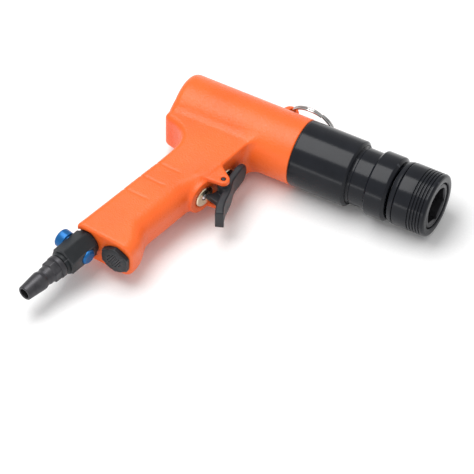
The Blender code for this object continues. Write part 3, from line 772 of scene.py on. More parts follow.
def skin(name: str, field_of: Field, low: Sequence[float], high: Sequence[float], step: float,
         axes: Axes, finish: Finish) -> Solid:
    """The surface where a distance field is zero.

    The field is sampled on a grid. Each cell that it changes sign in gets one vertex, at the mean of
    the crossings on the cell's edges, which is then moved along the field's gradient onto the
    surface. Each grid edge with a change of sign gets a quad between the four cells round it.

    Args:
        name: Name of the piece.
        field_of: Distance field of local coordinates in millimetres.
        low: Lowest corner of the grid.
        high: Highest corner of the grid.
        step: Size of a cell.
        axes: Frame of the field.
        finish: The piece's finish.

    Returns:
        The finished piece.
    """
    lines = [np.arange(a, b + step, step) for a, b in zip(low, high)]
    x, y, z = lines[0][:, None, None], lines[1][None, :, None], lines[2][None, None, :]
    value = np.broadcast_to(field_of(x, y, z), tuple(len(line) for line in lines)).astype(np.float32)
    solid = value < 0
    cells = tuple(n - 1 for n in value.shape)
    total, count = np.zeros((*cells, 3), np.float32), np.zeros(cells, np.float32)
    quads = []
    for axis in range(3):
        near = [slice(None)] * 3
        far = [slice(None)] * 3
        near[axis], far[axis] = slice(0, -1), slice(1, None)
        first, second = value[tuple(near)], value[tuple(far)]
        crossing = solid[tuple(near)] != solid[tuple(far)]
        share = np.where(crossing, first / np.where(crossing, first - second, 1.0), 0.0)
        others = [k for k in range(3) if k != axis]
        for du in (0, 1):
            for dv in (0, 1):
                pick = [slice(None)] * 3
                pick[others[0]] = slice(du, du + cells[others[0]])
                pick[others[1]] = slice(dv, dv + cells[others[1]])
                mark = crossing[tuple(pick)]
                count += mark
                total[..., axis] += share[tuple(pick)] * mark
                total[..., others[0]] += du * mark
                total[..., others[1]] += dv * mark
        core = [slice(None)] * 3
        core[others[0]] = core[others[1]] = slice(1, -1)
        where = np.argwhere(crossing[tuple(core)])
        where[:, others[0]] += 1
        where[:, others[1]] += 1
        u, v = np.zeros(3, int), np.zeros(3, int)
        u[others[0]], v[others[1]] = 1, 1
        corners = np.stack([where - u - v, where - v, where, where - u], 1)
        flip = solid[tuple(where.T)] ^ (axis == 1)
        corners[~flip] = corners[~flip][:, ::-1]
        quads.append(corners)
    active = count > 0
    index = np.full(cells, -1, np.int64)
    index[active] = np.arange(active.sum())
    local = total[active] / count[active][:, None]
    points = (np.argwhere(active) + local) * step + np.array([line[0] for line in lines])
    faces = np.concatenate(quads)
    faces = index[faces[..., 0], faces[..., 1], faces[..., 2]]
    points = settle(points.astype(float), field_of, step)
    piece = mesh_piece(name, axes.world(points), faces, finish)
    close_up(piece, 0.0001)
    return piece


def settle(points: Array, field_of: Field, step: float, rounds: int = 2) -> Array:
    """Moves points along a field's gradient until the field is zero there, by at most half a cell.

    Args:
        points: Points near the surface.
        field_of: The distance field.
        step: Size of a grid cell.
        rounds: Times that the move is repeated.

    Returns:
        The moved points.
    """
    reach = 0.05
    for _ in range(rounds):
        here = field_of(*points.T)
        steps = [field_of(*(points + reach * along).T) - here for along in np.eye(3)]
        slope = np.stack(steps, 1) / reach
        size = np.maximum((slope ** 2).sum(1), 0.25)
        move = -(here / size)[:, None] * slope
        length = np.linalg.norm(move, axis=1, keepdims=True)
        points = points + move * np.minimum(1.0, 0.5 * step / np.maximum(length, 1e-9))
    return points


# ------------------------------------------------------------------ casting

@dataclass
class Casting:
    """The one-piece pistol casting: head, raked grip, hanging lug, trigger cheeks and valve boss."""

    head_r: float = 24.0
    head_back: float = -93.2
    head_edge: float = 5.5
    bore_r: float = 20.4
    bore_back: float = -83.0
    slab_half: float = 16.5
    grip_half: float = 15.5
    rear_rounding: float = 4.5
    base_edge: float = 2.2
    boss_r: float = 13.8
    boss_span: tuple[float, float] = (-36.0, -22.2)
    cheek_middle: float = 13.3
    cheek_half: float = 1.9
    cheek_nose_r: float = 4.3
    pin_hole_r: float = 1.8
    lug_half: float = 3.0
    lug_hole: tuple[float, float] = (-21.6, 27.9)
    lug_hole_r: float = 2.3
    valve_bore_r: float = 5.3
    valve_bore_end: float = -46.0
    valve_seat_r: float = 8.6
    valve_seat: float = -23.3
    clear_out: float = -10.0
    strap_grooves: tuple[float, ...] = (84.0, 99.7, 116.2)
    groove_deep: float = 0.5
    groove_half: float = 0.7
    cell: float = 0.8
    front_edge: Outline = (
        (-17.0, 6.0), (-20.0, 18.0), (-22.4, 26.0), (-23.4, 32.0), (-23.4, 45.0), (-23.4, 62.0),
        (-24.0, 76.0), (-24.8, 88.0), (-24.8, 108.0), (-24.8, 126.0), (-24.0, 131.0), (-21.6, 136.0),
        (-18.8, 141.0), (-17.3, 146.5), (-17.0, 152.0), (-17.0, 175.0))
    rear_edge: Outline = (
        (-62.6, 175.0), (-61.5, 156.0), (-61.05, 141.0), (-60.6, 125.0), (-60.3, 109.0), (-59.9, 94.0),
        (-59.5, 84.0), (-59.4, 74.0), (-59.4, 66.0), (-60.3, 59.5), (-62.8, 54.8), (-67.5, 51.6),
        (-74.0, 50.3), (-80.5, 50.4), (-83.4, 48.6), (-84.4, 44.0), (-86.8, 35.0), (-90.2, 22.0),
        (-92.0, 14.0), (-75.0, 4.0), (-45.0, 4.0))
    fin: Outline = (
        (-33.0, 18.0), (-30.6, 23.2), (-28.8, 27.4), (-26.2, 31.0), (-22.8, 32.2), (-19.4, 31.6),
        (-17.0, 29.0), (-16.4, 26.0), (-15.0, 23.0), (-13.0, 18.0))

    def outline(self) -> Array:
        """The grip's side view in (out, down), past its base."""
        return np.vstack([open_curve(self.front_edge), open_curve(self.rear_edge)])

    def body(self, x: Array, y: Array, z: Array) -> Array:
        """Head and grip: a cylinder with a rounded back, grown together with the side view's outline
        given a thickness, whose front edges are crisp behind the trigger and round at the palm."""
        out, down = self.to_grip(x, y)
        head = both(np.hypot(y, z) - self.head_r, self.head_back - x, self.head_edge)
        head = both(head, x, 0.5)
        profile = within(self.outline(), out, down)
        half = self.slab_half + (self.grip_half - self.slab_half) * smooth_step(down, 48.0, 82.0)
        front = np.interp(down, (45.0, 68.0, 88.0, 130.0, 150.0), (1.5, 4.0, 12.0, 12.0, 8.0))
        rear = self.rear_rounding
        rounding = rear + (front - rear) * smooth_step(out, -54.0, -34.0)
        grip = both(profile, np.abs(z) - half, rounding)
        base = down - (153.4 + BASE_SLOPE * (out + 18.0))
        grip = both(grip, base, self.base_edge)
        shoulder = 2.4 + 1.4 * np.clip((x + 42.0) / 12.0, 0.0, 1.0)
        return either(head, grip, shoulder)

    @staticmethod
    def to_grip(x: Array, y: Array) -> tuple[Array, Array]:
        """The out and down coordinates of barrel-frame points."""
        out, down = GRIP.first, GRIP.third
        return x * out[0] + y * out[1], x * down[0] + y * down[1]

    def fittings(self, x: Array, y: Array, z: Array) -> Array:
        """The lower valve's boss, the two trigger cheeks and the hanging lug, as one field."""
        out, down = self.to_grip(x, y)
        back, front = self.boss_span
        boss = np.hypot(down - VALVES["lower"], z) - self.boss_r
        boss = both(boss, np.maximum(out - front, back - out), 1.1)
        arc, nose_r = np.radians(np.linspace(72, -72, 12)), self.cheek_nose_r
        nose = [(PIVOT[0] + nose_r * math.cos(a), PIVOT[1] + nose_r * math.sin(a)) for a in arc]
        cheek = np.array([(-32.0, 74.8), (-23.4, 71.0), *nose, (-23.4, 55.4), (-32.0, 51.6)])
        sides = np.abs(np.abs(z) - self.cheek_middle) - self.cheek_half
        cheeks = both(within(cheek, out, down), sides, 0.8)
        lug = both(within(smooth_outline(self.fin), x, y), np.abs(z) - self.lug_half, 1.3)
        return np.minimum(np.minimum(boss, cheeks), lug)

    def openings(self, x: Array, y: Array, z: Array) -> Array:
        """Everything that is drilled or bored: motor bore, valve pockets, pin, lug and port holes."""
        out, down = self.to_grip(x, y)
        inlet = np.hypot(out - INLET_OUT, z)
        exhaust = np.hypot(out - EXHAUST_OUT, z)
        holes = [
            both(np.hypot(y, z) - self.bore_r, self.bore_back - x),
            np.hypot(out - PIVOT[0], down - PIVOT[1]) - self.pin_hole_r,
            np.hypot(x - self.lug_hole[0], y - self.lug_hole[1]) - self.lug_hole_r,
            both(inlet - 7.0, 128.0 - down),
            both(inlet - 11.6, 157.3 - down, 0.2),
            both(exhaust - 5.7, 145.0 - down),
            both(exhaust - 10.2, 153.3 - down, 0.2)]
        for valve in VALVES.values():
            around, past = np.hypot(down - valve, z), out - self.clear_out
            bore, seat = self.valve_bore_end - out, self.valve_seat - out
            holes.append(both(around - self.valve_bore_r, np.maximum(bore, past)))
            holes.append(both(around - self.valve_seat_r, np.maximum(seat, past), 0.2))
        return np.minimum.reduce(np.broadcast_arrays(*holes))

    def strap(self, x: Array, y: Array, z: Array) -> Array:
        """Depth of the shallow grooves across the back strap, which fade towards the front."""
        out, down = self.to_grip(x, y)
        line = down + 0.2 * (out + 60.0)
        fade = np.clip((-39.0 - out) / 3.0, 0.0, 1.0)
        depth = np.zeros(np.broadcast(x, y, z).shape)
        for groove in self.strap_grooves:
            wall = np.exp(-((line - groove) / self.groove_half) ** 2)
            depth = np.maximum(depth, self.groove_deep * wall * fade)
        return depth

    def field_of(self, x: Array, y: Array, z: Array) -> Array:
        """The whole casting's distance field."""
        solid = either(self.body(x, y, z), self.fittings(x, y, z), 1.8) + self.strap(x, y, z)
        return less(solid, self.openings(x, y, z), 0.45)

    def build(self) -> None:
        """Makes the casting in place of its CAD solid."""
        casting = skin("pistol_casting", self.field_of, (-107.0, -160.0, -26.0), (2.0, 34.5, 26.0),
                       self.cell, BARREL, Finish.PAINT)
        place(casting, "casing", Finish.PAINT, "pistol_housing")


def place(piece: Solid, body: str, finish: Finish, *replaced: str) -> None:
    """Rides a piece on its body and what it stands for, and reports it.

    Args:
        piece: The finished piece.
        body: The CAD body that it moves with.
        finish: Its finish; not used.
        replaced: CAD nodes that it stands for.
    """
    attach(piece, body)
    if replaced:
        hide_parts(*replaced)
    LOG.info("%s: %d faces on %s", piece.name, len(piece.data.polygons), body)


# ------------------------------------------------------------------ barrel

@dataclass
class Barrel:
    """Gear case, nose housing, and the sealed bearings that carry the spindle."""

    case_r: float = 24.0
    case_front: float = 43.5
    neck_r: float = 20.6
    ring_r: float = 23.4

    def gear_case(self) -> None:
        """The plain tube with its rear spigot, dark joint step and front chamfer."""
        stations = [(self.case_front, 22.0), (41.9, self.case_r), (1.3, self.case_r), (0.9, 23.72),
                    (0.3, 23.72), (0.3, 20.1), (-10.0, 20.1), (-10.0, 17.8), (2.6, 17.8), (2.6, 21.5),
                    (self.case_front, 21.5)]
        fit("gear_case", "casing", "gear_case_tube", BARREL, stations, Finish.BLACK_BARREL,
            around=224)

    def nose(self) -> None:
        """The stepped nose: neck, flange with its chamfers, and the bearing seats inside."""
        stations = [(74.0, 21.2), (71.9, self.ring_r), (59.1, self.ring_r), (57.5, 21.8),
                    (57.5, self.neck_r), (46.2, self.neck_r), (45.6, 20.2), (44.3, 20.2),
                    (43.5, 20.6), (43.5, 21.2), (17.0, 21.2), (17.0, 15.3), (45.0, 15.3),
                    (45.0, 12.0), (62.0, 12.0), (62.0, 15.3), (73.2, 15.3), (74.0, 16.0)]
        fit("nose_housing", "casing", "stepped_nose", BARREL, stations, Finish.BLACK_BARREL,
            around=224)

    def bearing(self, name: str, node: str, low: float, high: float, outer: float = 15.0,
                inner: float = 8.5) -> None:
        """A sealed bearing: two ground races with a dished shield between them."""
        wall = (outer - inner) * 0.28
        dish = 0.45
        half = [(high, inner + 0.25), (high, inner + wall), (high - dish, inner + wall + 0.25),
                (high - dish, outer - wall - 0.25), (high, outer - wall), (high, outer - 0.3),
                (high - 0.3, outer)]
        other = [(low + high - along, radius) for along, radius in reversed(half)]
        stations = [*half, *other, (low, inner + 0.25), (low + 0.2, inner), (high - 0.2, inner)]
        fit(node, "casing", name, BARREL, stations, Finish.BRIGHT, around=72, round_mm=0.1)

    def build(self) -> None:
        """Makes the barrel's pieces."""
        self.gear_case()
        self.nose()
        self.bearing("rear_spindle_bearing", "spindle_rear_bearing", 36.0, 43.0)
        self.bearing("front_spindle_bearing", "spindle_front_bearing", 63.0, 70.0)


# ------------------------------------------------------------------ chuck

@dataclass
class Chuck:
    """Spindle head with its hexagonal socket, detent balls, ribbed sleeve, end nut and spring."""

    sleeve_r: float = 22.9
    ribs: int = 5
    rib_pitch: float = 2.3
    rib_first: float = 91.6
    rib_depth: float = 1.0
    socket_flats: float = 24.0
    socket_floor: float = 80.0
    ball_r: float = 2.75
    ball_at: float = 94.0
    ball_orbit: float = 13.9

    def sleeve(self) -> None:
        """The pull sleeve: a plain band, five rounded ribs and a rounded front rim."""
        outer: list[Station] = [(105.0, 17.9), (105.0, self.sleeve_r - 1.9),
                                (104.5, self.sleeve_r - 0.6), (103.3, self.sleeve_r)]
        for k in reversed(range(self.ribs)):
            back = self.rib_first + self.rib_pitch * k
            outer += [(back + 1.25, self.sleeve_r), (back + 0.95, self.sleeve_r - self.rib_depth),
                      (back + 0.3, self.sleeve_r - self.rib_depth), (back, self.sleeve_r)]
        outer += [(80.7, self.sleeve_r), (80.0, self.sleeve_r - 0.7)]
        inner = [(80.0, 20.0), (90.5, 20.0), (90.5, 18.05), (94.3, 17.1), (104.4, 17.1)]
        fit("release_sleeve", "sleeve", "ribbed_sleeve", BARREL, [*outer, *inner], Finish.BLACK_BARREL,
            around=224, round_mm=0.3)

    def end_nut(self) -> None:
        """The thin nut that closes the sleeve's rear end, flared towards the sleeve."""
        stations = [(79.7, 22.3), (79.2, 22.65), (76.4, 22.0), (75.8, 21.3), (75.8, 17.1),
                    (79.7, 17.1)]
        fit("sleeve_end_nut", "sleeve", "sleeve_nut", BARREL, stations, Finish.BLACK_BARREL,
            around=224, round_mm=0.25)

    def spindle(self) -> None:
        """Carrier, shaft and head in one, with the hexagonal socket and the balls' pockets."""
        flat = self.socket_flats / 2
        stations: list[Station] = [
            (self.socket_floor, 0.0), (self.socket_floor, flat, Row.HEX), (103.3, flat, Row.HEX),
            (104.2, flat + 1.5), (104.2, 15.8), (103.3, 16.7), (75.5, 16.7), (75.5, 18.5),
            (74.6, 18.5), (74.6, 8.2), (18.5, 8.2), (18.5, 14.7), (14.0, 14.7), (14.0, 0.0)]
        piece = turned("chuck_spindle", BARREL, stations, Finish.OXIDE_BARREL, False, 192, 0.2)
        cutters = []
        for turn in THIRDS + math.radians(90.0):
            centre = BARREL.shifted(0.0, 12.0 * math.cos(turn), 12.0 * math.sin(turn))
            cutters.append(bar(centre, 10.0, 18.1, 2.35, "first", 32))
        up, right = np.array(BARREL.second), np.array(BARREL.third)
        for turn in THIRDS:
            out = tuple(math.cos(turn) * up + math.sin(turn) * right)
            side = tuple(np.cross(out, BARREL.first))
            radial = Axes(BARREL.shifted(self.ball_at, 0, 0).origin, side, BARREL.first, out)
            cutters.append(bar(radial, 9.0, 20.0, self.ball_r + 0.25, "third", 40))
        carve(piece, cutters)
        place(piece, "spindle", Finish.OXIDE_BARREL, "output_spindle")

    def balls(self) -> None:
        """Three polished balls: a sphere's latitude and longitude grid."""
        for k, turn in enumerate(THIRDS):
            centre = BARREL.shifted(self.ball_at, self.ball_orbit * math.cos(turn),
                                    self.ball_orbit * math.sin(turn))
            arc = np.linspace(math.pi, 0.0, 25)
            stations = [(self.ball_r * math.cos(a), self.ball_r * math.sin(a)) for a in arc]
            stations[0], stations[-1] = (-self.ball_r, 0.0), (self.ball_r, 0.0)
            fit(f"detent_ball_{k + 1}", f"ball_{k + 1}", f"chuck_ball_{k + 1}", centre, stations,
                Finish.BRIGHT, False, 48, 0.0)

    def spring(self) -> None:
        """The sleeve's return spring, a fixed coil that rides on the spindle."""
        piece = coil_spring("sleeve_return_spring", BARREL, 18.35, 80.6, 87.8, 3.0, 0.5)
        low, high = BARREL.world(np.array([80.0, 0, 0])), BARREL.world(np.array([88.3, 0, 0]))
        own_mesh(piece)
        place(piece, "spindle", Finish.BRIGHT, "sleeve_spring")

    def build(self) -> None:
        """Makes the chuck's pieces."""
        self.spindle()
        self.balls()
        self.sleeve()
        self.end_nut()
        self.spring()


def coil_spring(name: str, axes: Axes, radius: float, low: float, high: float, turns: float,
                wire_r: float) -> Solid:
    """A compression spring: a round wire along a helix that climbs a little less in its middle.

    Args:
        name: Name of the piece.
        axes: The spring's frame, whose first axis the helix climbs.
        radius: Radius of the helix.
        low: Start of the spring.
        high: End of the spring.
        turns: Number of turns.
        wire_r: Radius of the wire.

    Returns:
        The finished piece.
    """
    t = np.linspace(0.0, 1.0, int(turns * 48) + 1)
    angle = TAU * turns * t
    rise = low + (high - low) * (t + 0.02 * np.sin(TAU * t))
    ring = np.stack([radius * np.cos(angle), radius * np.sin(angle)], -1)
    around = np.arange(10) * TAU / 10
    section = wire_r * np.stack([np.cos(around), np.sin(around)], -1)
    return swept(name, axes, np.column_stack([rise, ring]), section, Finish.BRIGHT, (1.0, 0.0, 0.0))


# ------------------------------------------------------------------ trigger and valves

@dataclass
class Trigger:
    """The two-finger rocker, its pin, and the valves that it works."""

    half_wide: float = 8.4
    tip_down: float = 36.6
    edge: float = 1.2
    web_half: float = 2.2
    hub_r: float = 4.2
    hub_half: float = 11.1
    bore_r: float = 1.8
    pin_half: float = 14.8
    cell: float = 0.42
    front: Outline = (
        (-18.6, 34.0), (-17.6, 36.6), (-16.2, 40.5), (-15.1, 46.0), (-13.2, 53.9), (-11.3, 57.6),
        (-9.0, 61.2), (-6.6, 66.0), (-4.3, 71.6), (-1.2, 76.9), (2.5, 81.4))
    back: Outline = (
        (-2.3, 85.2), (-6.5, 79.7), (-10.0, 71.6), (-12.6, 66.0), (-15.4, 60.0), (-17.8, 54.5),
        (-19.2, 49.5), (-19.8, 45.5), (-20.5, 38.0), (-21.4, 34.0))
    web: Outline = (
        (-17.0, 46.0), (-14.0, 54.0), (-11.5, 60.0), (-9.5, 66.0), (-8.0, 72.0), (-9.5, 74.2),
        (-20.6, 74.2), (-20.6, 72.4), (-19.0, 71.0), (-18.2, 67.5), (-18.6, 59.5), (-19.0, 56.5),
        (-20.6, 54.6), (-20.6, 51.6), (-18.5, 49.0), (-18.0, 46.0))

    def field_of(self, out: Array, z: Array, down: Array) -> Array:
        """Two curved finger plates on a narrow web with pads for the stems, and a hub for the pin.
        The upper finger ends in a half circle across the tool, and the lower one ends square."""
        outline = np.vstack([open_curve(self.front, 4), open_curve(self.back, 4)])
        crown = self.tip_down + self.half_wide
        square = np.abs(z) - self.half_wide + 0.4 * np.clip((down - 76.0) / 8.0, 0.0, 1.0)
        across = np.where(down < crown, np.hypot(z, down - crown) - self.half_wide, square)
        plate = both(within(outline, out, down), across, self.edge)
        web = both(within(np.array(self.web), out, down), np.abs(z) - self.web_half, 0.4)
        round_hub = np.hypot(out - PIVOT[0], down - PIVOT[1])
        hub = both(round_hub - self.hub_r, np.abs(z) - self.hub_half, 0.5)
        solid = either(plate, np.minimum(web, hub), 0.8)
        return less(solid, round_hub - self.bore_r, 0.2)

    def build(self) -> None:
        """Makes the rocker, its pin and both valves."""
        rocker = skin("rocker_trigger", self.field_of, (-23.0, -12.2, 34.6), (4.2, 12.2, 88.0),
                      self.cell, GRIP, Finish.PLASTIC)
        place(rocker, "trigger", Finish.PLASTIC, "trigger_rocker")
        centre = Axes(tuple(GRIP.world(np.array([PIVOT[0], 0, PIVOT[1]])) / MM), (1, 0, 0), (0, 1, 0),
                      (0, 0, 1))
        half = [(self.pin_half, 0.0), (self.pin_half, 1.2), (self.pin_half - 0.3, 1.5)]
        stations = [*half, *((-along, radius) for along, radius in reversed(half))]
        fit("trigger_pin", "casing", "rocker_pin", centre, stations, Finish.OXIDE_BARREL, False, 40,
            0.1, "third")
        for name, down in VALVES.items():
            self.valve(name, down)

    def valve(self, name: str, down: float) -> None:
        """A valve's bush, plated washer, stem and spring."""
        axes = GRIP.shifted(0, 0, down)
        bush = [(-23.6, 2.8), (-23.6, 3.9), (-25.7, 3.9), (-25.7, 5.0), (-45.0, 5.0), (-45.0, 4.0),
                (-31.0, 4.0), (-31.0, 2.8)]
        fit(f"{name}_valve_bush", "casing", f"{name}_bush", axes, bush, Finish.PLASTIC, True, 64, 0.2)
        washer = [(-21.3, 2.9), (-21.3, 7.6), (-21.8, 8.1), (-23.2, 8.1), (-23.2, 2.9)]
        fit(f"{name}_valve_washer", "casing", f"{name}_washer", axes, washer, Finish.ZINC, True, 96,
            0.12)
        stem = [(-20.9, 0.0), (-20.9, 1.5), (-21.7, 2.4), (-33.0, 2.4), (-33.0, 3.7), (-34.5, 3.7),
                (-34.5, 0.0)]
        fit(f"{name}_valve_stem", f"{name}_stem", f"{name}_stem", axes, stem, Finish.BRIGHT, False, 48,
            0.15)
        spring = coil_spring(f"{name}_spring", axes, 3.1, -45.2, -35.2, 5.0, 0.4)
        rear, front = axes.world(np.array([-45.8, 0, 0])), axes.world(np.array([-34.9, 0, 0]))
        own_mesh(spring)
        place(spring, "casing", Finish.BRIGHT, f"{name}_valve_spring")


# ------------------------------------------------------------------ air inlet and exhaust

@dataclass
class Inlet:
    """Hexagonal shut-off body with its blue spool, the quick-connect plug and the gasket."""

    body_start: float = 158.6
    body_end: float = 184.2
    flats: float = 19.0
    spool_down: float = 168.3

    def body(self) -> None:
        """The valve body: chamfered hexagon, round shoulder, hidden thread, cross bore and air way."""
        axes = GRIP.shifted(INLET_OUT, 0, 0)
        flat = self.flats / 2
        corner = 2 * flat / math.sqrt(3)
        stations: list[Station] = [
            (187.0, 5.8), (187.0, 7.6), (186.4, 8.2), (self.body_end, 8.2), (self.body_end, flat - 0.1)]
        stations += [(self.body_end - 0.1 - 1.2 * t, flat + (corner - flat) * t) for t in (0.0, 1.0)]
        stations += [(self.body_start + 0.1 + 1.2 * t, flat + (corner - flat) * t) for t in (1.0, 0.0)]
        stations += [(self.body_start, flat - 0.1), (self.body_start, 6.6), (144.0, 6.6), (144.0, 4.0),
                     (176.5, 4.0), (176.5, 5.8)]
        profile = soften(stations, 0.12, True, 3)
        points = axes.world(hexed(profile, flat, 8.9, 288))
        piece = mesh_piece("shutoff_body", points, grid_faces(len(profile), 288, True),
                           Finish.BLACK_INLET)
        close_up(piece)
        crossing = GRIP.shifted(INLET_OUT, 0, self.spool_down)
        carve(piece, [bar(crossing, -15.0, 15.0, 5.8, "first", 72)])
        place(piece, "casing", Finish.BLACK_INLET, "inlet_valve_body")

    def spool(self) -> None:
        """The blue spool: a waisted plunger with seal grooves, a domed end and a thick knob."""
        axes = GRIP.shifted(INLET_OUT, 0, self.spool_down)
        stations = [(11.2, 0.0), (11.2, 4.4), (10.6, 5.2), (9.9, 5.5), (8.0, 5.5), (8.0, 4.3),
                    (6.6, 4.3), (6.6, 5.5), (4.2, 5.5), (4.2, 3.0), (-4.2, 3.0), (-4.2, 5.5),
                    (-6.6, 5.5), (-6.6, 4.3), (-8.0, 4.3), (-8.0, 5.5), (-9.8, 5.5), (-9.8, 6.6),
                    (-10.2, 7.0), (-15.6, 7.0), (-16.5, 6.4), (-16.8, 5.6), (-16.8, 0.0)]
        fit("shutoff_spool", "spool", "blue_spool", axes, stations, Finish.BLUE, False, 128, 0.25)
        for name, at in (("front", 7.3), ("rear", -7.3)):
            arc = np.arange(16) * TAU / 16
            ring = [(at + 0.45 * math.cos(a), 5.1 + 0.45 * math.sin(a)) for a in arc]
            fit(f"spool_{name}_seal", "spool", f"spool_{name}_ring", axes, ring, Finish.RUBBER, True, 64,
                0.0)

    def plug(self) -> None:
        """The quick-connect plug: collar, hexagonal land, stepped groove and tapered nose."""
        stations: list[Station] = [
            (221.9, 4.1), (221.9, 4.9), (221.4, 5.45), (207.4, 6.85), (206.2, 6.95), (205.0, 6.7),
            (203.6, 6.15), (201.8, 6.15), (200.9, 6.6), (197.5, 6.6), (197.2, 6.9),
            (196.9, 7.0, Row.HEX), (191.6, 7.0, Row.HEX), (191.4, 7.6), (191.3, 8.1), (190.8, 8.5),
            (187.8, 8.5), (187.3, 8.0), (187.3, 5.5), (177.0, 5.5), (177.0, 3.75), (221.5, 3.75)]
        fit("air_plug", "casing", "coupler_plug", GRIP.shifted(INLET_OUT, 0, 0), stations,
            Finish.OXIDE_PLUG, True, 144, 0.3, "third")

    def gasket(self) -> None:
        """The flat rubber washer under the body."""
        low, high = self.body_start - 1.0, self.body_start - 0.3
        fit("inlet_gasket", "casing", "body_gasket", GRIP.shifted(INLET_OUT, 0, 0),
            [(high, 6.9), (high, 9.2), (low, 9.2), (low, 6.9)], Finish.RUBBER, True, 96, 0.15, "third")

    def build(self) -> None:
        """Makes the inlet's pieces."""
        self.body()
        self.spool()
        self.plug()
        self.gasket()


@dataclass
class Silencer:
    """The hexagonal exhaust plug with its drilled face."""

    base: float = 155.25
    face: float = 159.0
    seat: float = 155.45
    flats: float = 20.5
    hole_r: float = 0.62
    hole_pitch: float = 2.0
    field_r: float = 5.3

    def tilted(self) -> Axes:
        """The frame whose third axis leaves the sloping base squarely at the plug's centre."""
        first, down = np.array(GRIP.first), np.array(GRIP.third)
        length = math.hypot(1.0, BASE_SLOPE)
        across = (first + BASE_SLOPE * down) / length
        square = (down - BASE_SLOPE * first) / length
        centre = GRIP.world(np.array([EXHAUST_OUT, 0.0, self.base])) / MM - square * self.base
        return Axes(tuple(centre), tuple(across), GRIP.second, tuple(square))

    def build(self) -> None:
        """Makes the plug, whose head sits squarely on the base, and drills its face in a honeycomb."""
        straight, tilted = GRIP.shifted(EXHAUST_OUT, 0, 0), self.tilted()
        flat = self.flats / 2
        corner = 2 * flat / math.sqrt(3)
        stations: list[Station] = [(self.face, 0.0), (self.face, flat - 0.2)]
        stations += [(self.face - 0.1, flat), (self.face - 0.6, corner), (self.seat + 0.3, corner),
                     (self.seat, flat + 0.4), (self.seat, 5.4), (145.6, 5.4), (145.6, 4.3), (156.0, 4.3),
                     (156.0, 5.9), (157.3, 5.9), (157.3, 0.0)]
        profile = soften(stations, 0.12, False, 3)
        local = hexed(profile, flat, 8.0, 240)
        points = np.where(local[:, 2:] > 154.0, tilted.world(local), straight.world(local))
        piece = mesh_piece("exhaust_plug", points, grid_faces(len(profile), 240, False),
                           Finish.BLACK_INLET)
        close_up(piece)
        i, j = np.meshgrid(np.arange(-3, 4), np.arange(-3, 4))
        spots = np.stack([(i + 0.5 * j).ravel(), (math.sqrt(3) / 2 * j).ravel()], -1)
        spots = spots[np.hypot(*spots.T) * self.hole_pitch < self.field_r] * self.hole_pitch
        carve(piece, [bar(tilted.shifted(a, b, 0), 156.6, 161.0, self.hole_r, "third", 14)
                      for a, b in spots])
        place(piece, "casing", Finish.BLACK_INLET, "silencer_plug")


# ------------------------------------------------------------------ hanging ring

@dataclass
class HangingRing:
    """A split ring of flat wire, wound twice, through the lug on the head."""

    mean_r: float = 15.6
    wire: float = 1.4
    centre: tuple[float, float] = (-6.0, 27.9)
    lean: float = math.radians(10.0)

    def build(self) -> None:
        """Winds the ring: two flat turns side by side, which change over along a short ramp."""
        lean_y, lean_z = math.cos(self.lean), math.sin(self.lean)
        axes = Axes(tuple(BARREL.world(np.array([*self.centre, 0.0])) / MM), BARREL.first,
                    (0.0, -lean_z, lean_y), (0.0, lean_y, lean_z))
        t = np.linspace(0.0, 1.0, 241)
        angle = TAU * 2 * t + 1.0
        shift = (smooth_step(t, 0.47, 0.53) - 0.5) * (self.wire + 0.06)
        path = np.column_stack([self.mean_r * np.cos(angle), self.mean_r * np.sin(angle), shift])
        half, bevel = self.wire / 2, 0.22
        corner = [(half, half - bevel), (half - bevel, half)]
        quarters = ((1, 1, 1), (-1, 1, -1), (-1, -1, 1), (1, -1, -1))
        section = np.array([(sx * x, sy * y) for sx, sy, order in quarters for x, y in corner[::order]])
        piece = swept("split_ring", axes, path, section, Finish.NICKEL, (0.0, 0.0, 1.0))
        place(piece, "ring", Finish.NICKEL, "hanging_ring")


# ------------------------------------------------------------------ inner works

@dataclass
class InnerWorks:
    """The motor and the gears inside, which keep their CAD shapes and get machined finishes."""

    finishes: dict[str, Finish] = field(default_factory=lambda: {
        "cut_steel": Finish.CUT, "bright_steel": Finish.BRIGHT, "composite": Finish.LAMINATE,
        "rubber": Finish.RUBBER, "felt": Finish.FELT, "black_plastic": Finish.PLASTIC,
        "orange_paint": Finish.PAINT, "black_anodised": Finish.BLACK_BARREL,
        "black_oxide": Finish.OXIDE_BARREL, "blue_anodised": Finish.BLUE, "chrome": Finish.NICKEL,
        "yellow_zinc": Finish.ZINC})

    def build(self) -> None:
        """Gives each remaining CAD node the finish of its slot in the record."""
        slots = {part["node"]: part["material_slot"] for part in frame["record"]["subparts"]}
        for name, node in frame["nodes"].items():
            finish = self.finishes[slots[name]]
            node.data.materials.clear()
            node.data.materials.append(material_of(finish))
            LOG.info("%s keeps its shape, in %s", name, finish.value)


# ------------------------------------------------------------------ studio

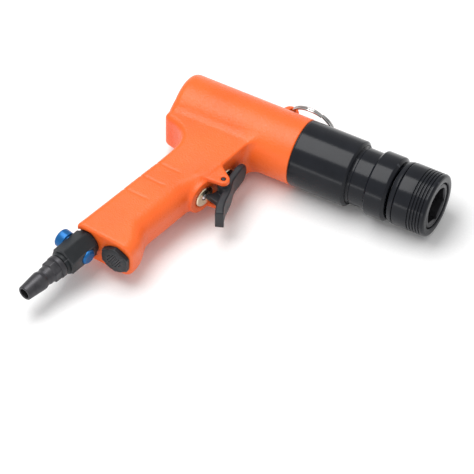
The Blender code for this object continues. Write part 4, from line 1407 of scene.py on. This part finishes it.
@dataclass
class Studio:
    """Pale floor, soft lights and a long lens from above the tool's right side."""

    aim: Triple = (0.7, -3.4, 24.0)
    toward: Triple = (0.288, -0.559, 0.777)
    lens: float = 1000.0
    sensor: float = 36.0
    width_mm: float = 325.8

    def camera(self) -> None:
        """Places the camera so that the width at the aim point fills the picture."""
        data = bpy.data.cameras.new("camera")
        data.lens, data.sensor_width = self.lens, self.sensor
        distance = self.width_mm * self.lens / self.sensor
        camera = bpy.data.objects.new("camera", data)
        aim, toward = Vector(self.aim), Vector(self.toward).normalized()
        camera.location = (aim + toward * distance) * MM
        camera.rotation_euler = (-toward).to_track_quat("-Z", "Y").to_euler()
        data.clip_end = 20.0
        bpy.context.scene.collection.objects.link(camera)
        bpy.context.scene.camera = camera

    def floor(self) -> None:
        """A wide pale floor with a very fine grain."""
        bench = NodeBench("pale_floor")
        grain = bench.noise(1.5, 2.0)
        bench.colour(bench.blend(bench.span(grain, 0.0, 1.0), (0.9, 0.9, 0.9), (0.93, 0.93, 0.93)))
        bench.set(Roughness=0.9, Specular_IOR_Level=0.1)
        mesh = bpy.data.meshes.new("floor")
        reach = 4.0
        corners = [(-reach, -reach, -0.0002), (reach, -reach, -0.0002), (reach, reach, -0.0002),
                   (-reach, reach, -0.0002)]
        mesh.from_pydata(corners, [], [(0, 1, 2, 3)])
        mesh.materials.append(bench.material)
        floor = bpy.data.objects.new("floor", mesh)
        bpy.context.scene.collection.objects.link(floor)

    def light(self, name: str, at: Triple, size: tuple[float, float],
              power: float) -> None:
        """A rectangular soft light aimed at the tool, at a place in metres."""
        data = bpy.data.lights.new(name, "AREA")
        data.shape = "RECTANGLE"
        data.size, data.size_y = size
        data.energy = power
        lamp = bpy.data.objects.new(name, data)
        lamp.location = at
        lamp.rotation_euler = (Vector(at) - Vector((0, 0, 0.02))).to_track_quat("Z", "Y").to_euler()
        bpy.context.scene.collection.objects.link(lamp)

    def build(self) -> None:
        """Makes the camera, the floor, the lights and a near-white sky."""
        self.camera()
        self.floor()
        self.light("key", (-0.34, 0.02, 1.1), (1.1, 0.62), 11.0)
        self.light("front", (-0.25, -1.1, 0.12), (0.8, 0.14), 1.2)
        world = bpy.data.worlds.new("sky")
        world.use_nodes = True
        world.node_tree.nodes["Background"].inputs["Color"].default_value = (1.0, 1.0, 1.0, 1.0)
        world.node_tree.nodes["Background"].inputs["Strength"].default_value = 0.7
        bpy.context.scene.world = world
        bpy.context.scene.view_settings.view_transform = "Standard"


def main() -> None:
    """Builds the studio and the tool, in the order that it goes together."""
    Studio().build()
    InnerWorks().build()
    for assembly in (Casting(), Barrel(), Chuck(), Trigger(), Inlet(), Silencer(), HangingRing()):
        assembly.build()
        LOG.info("%s done", type(assembly).__name__)


if __name__ == "__main__":
    main()
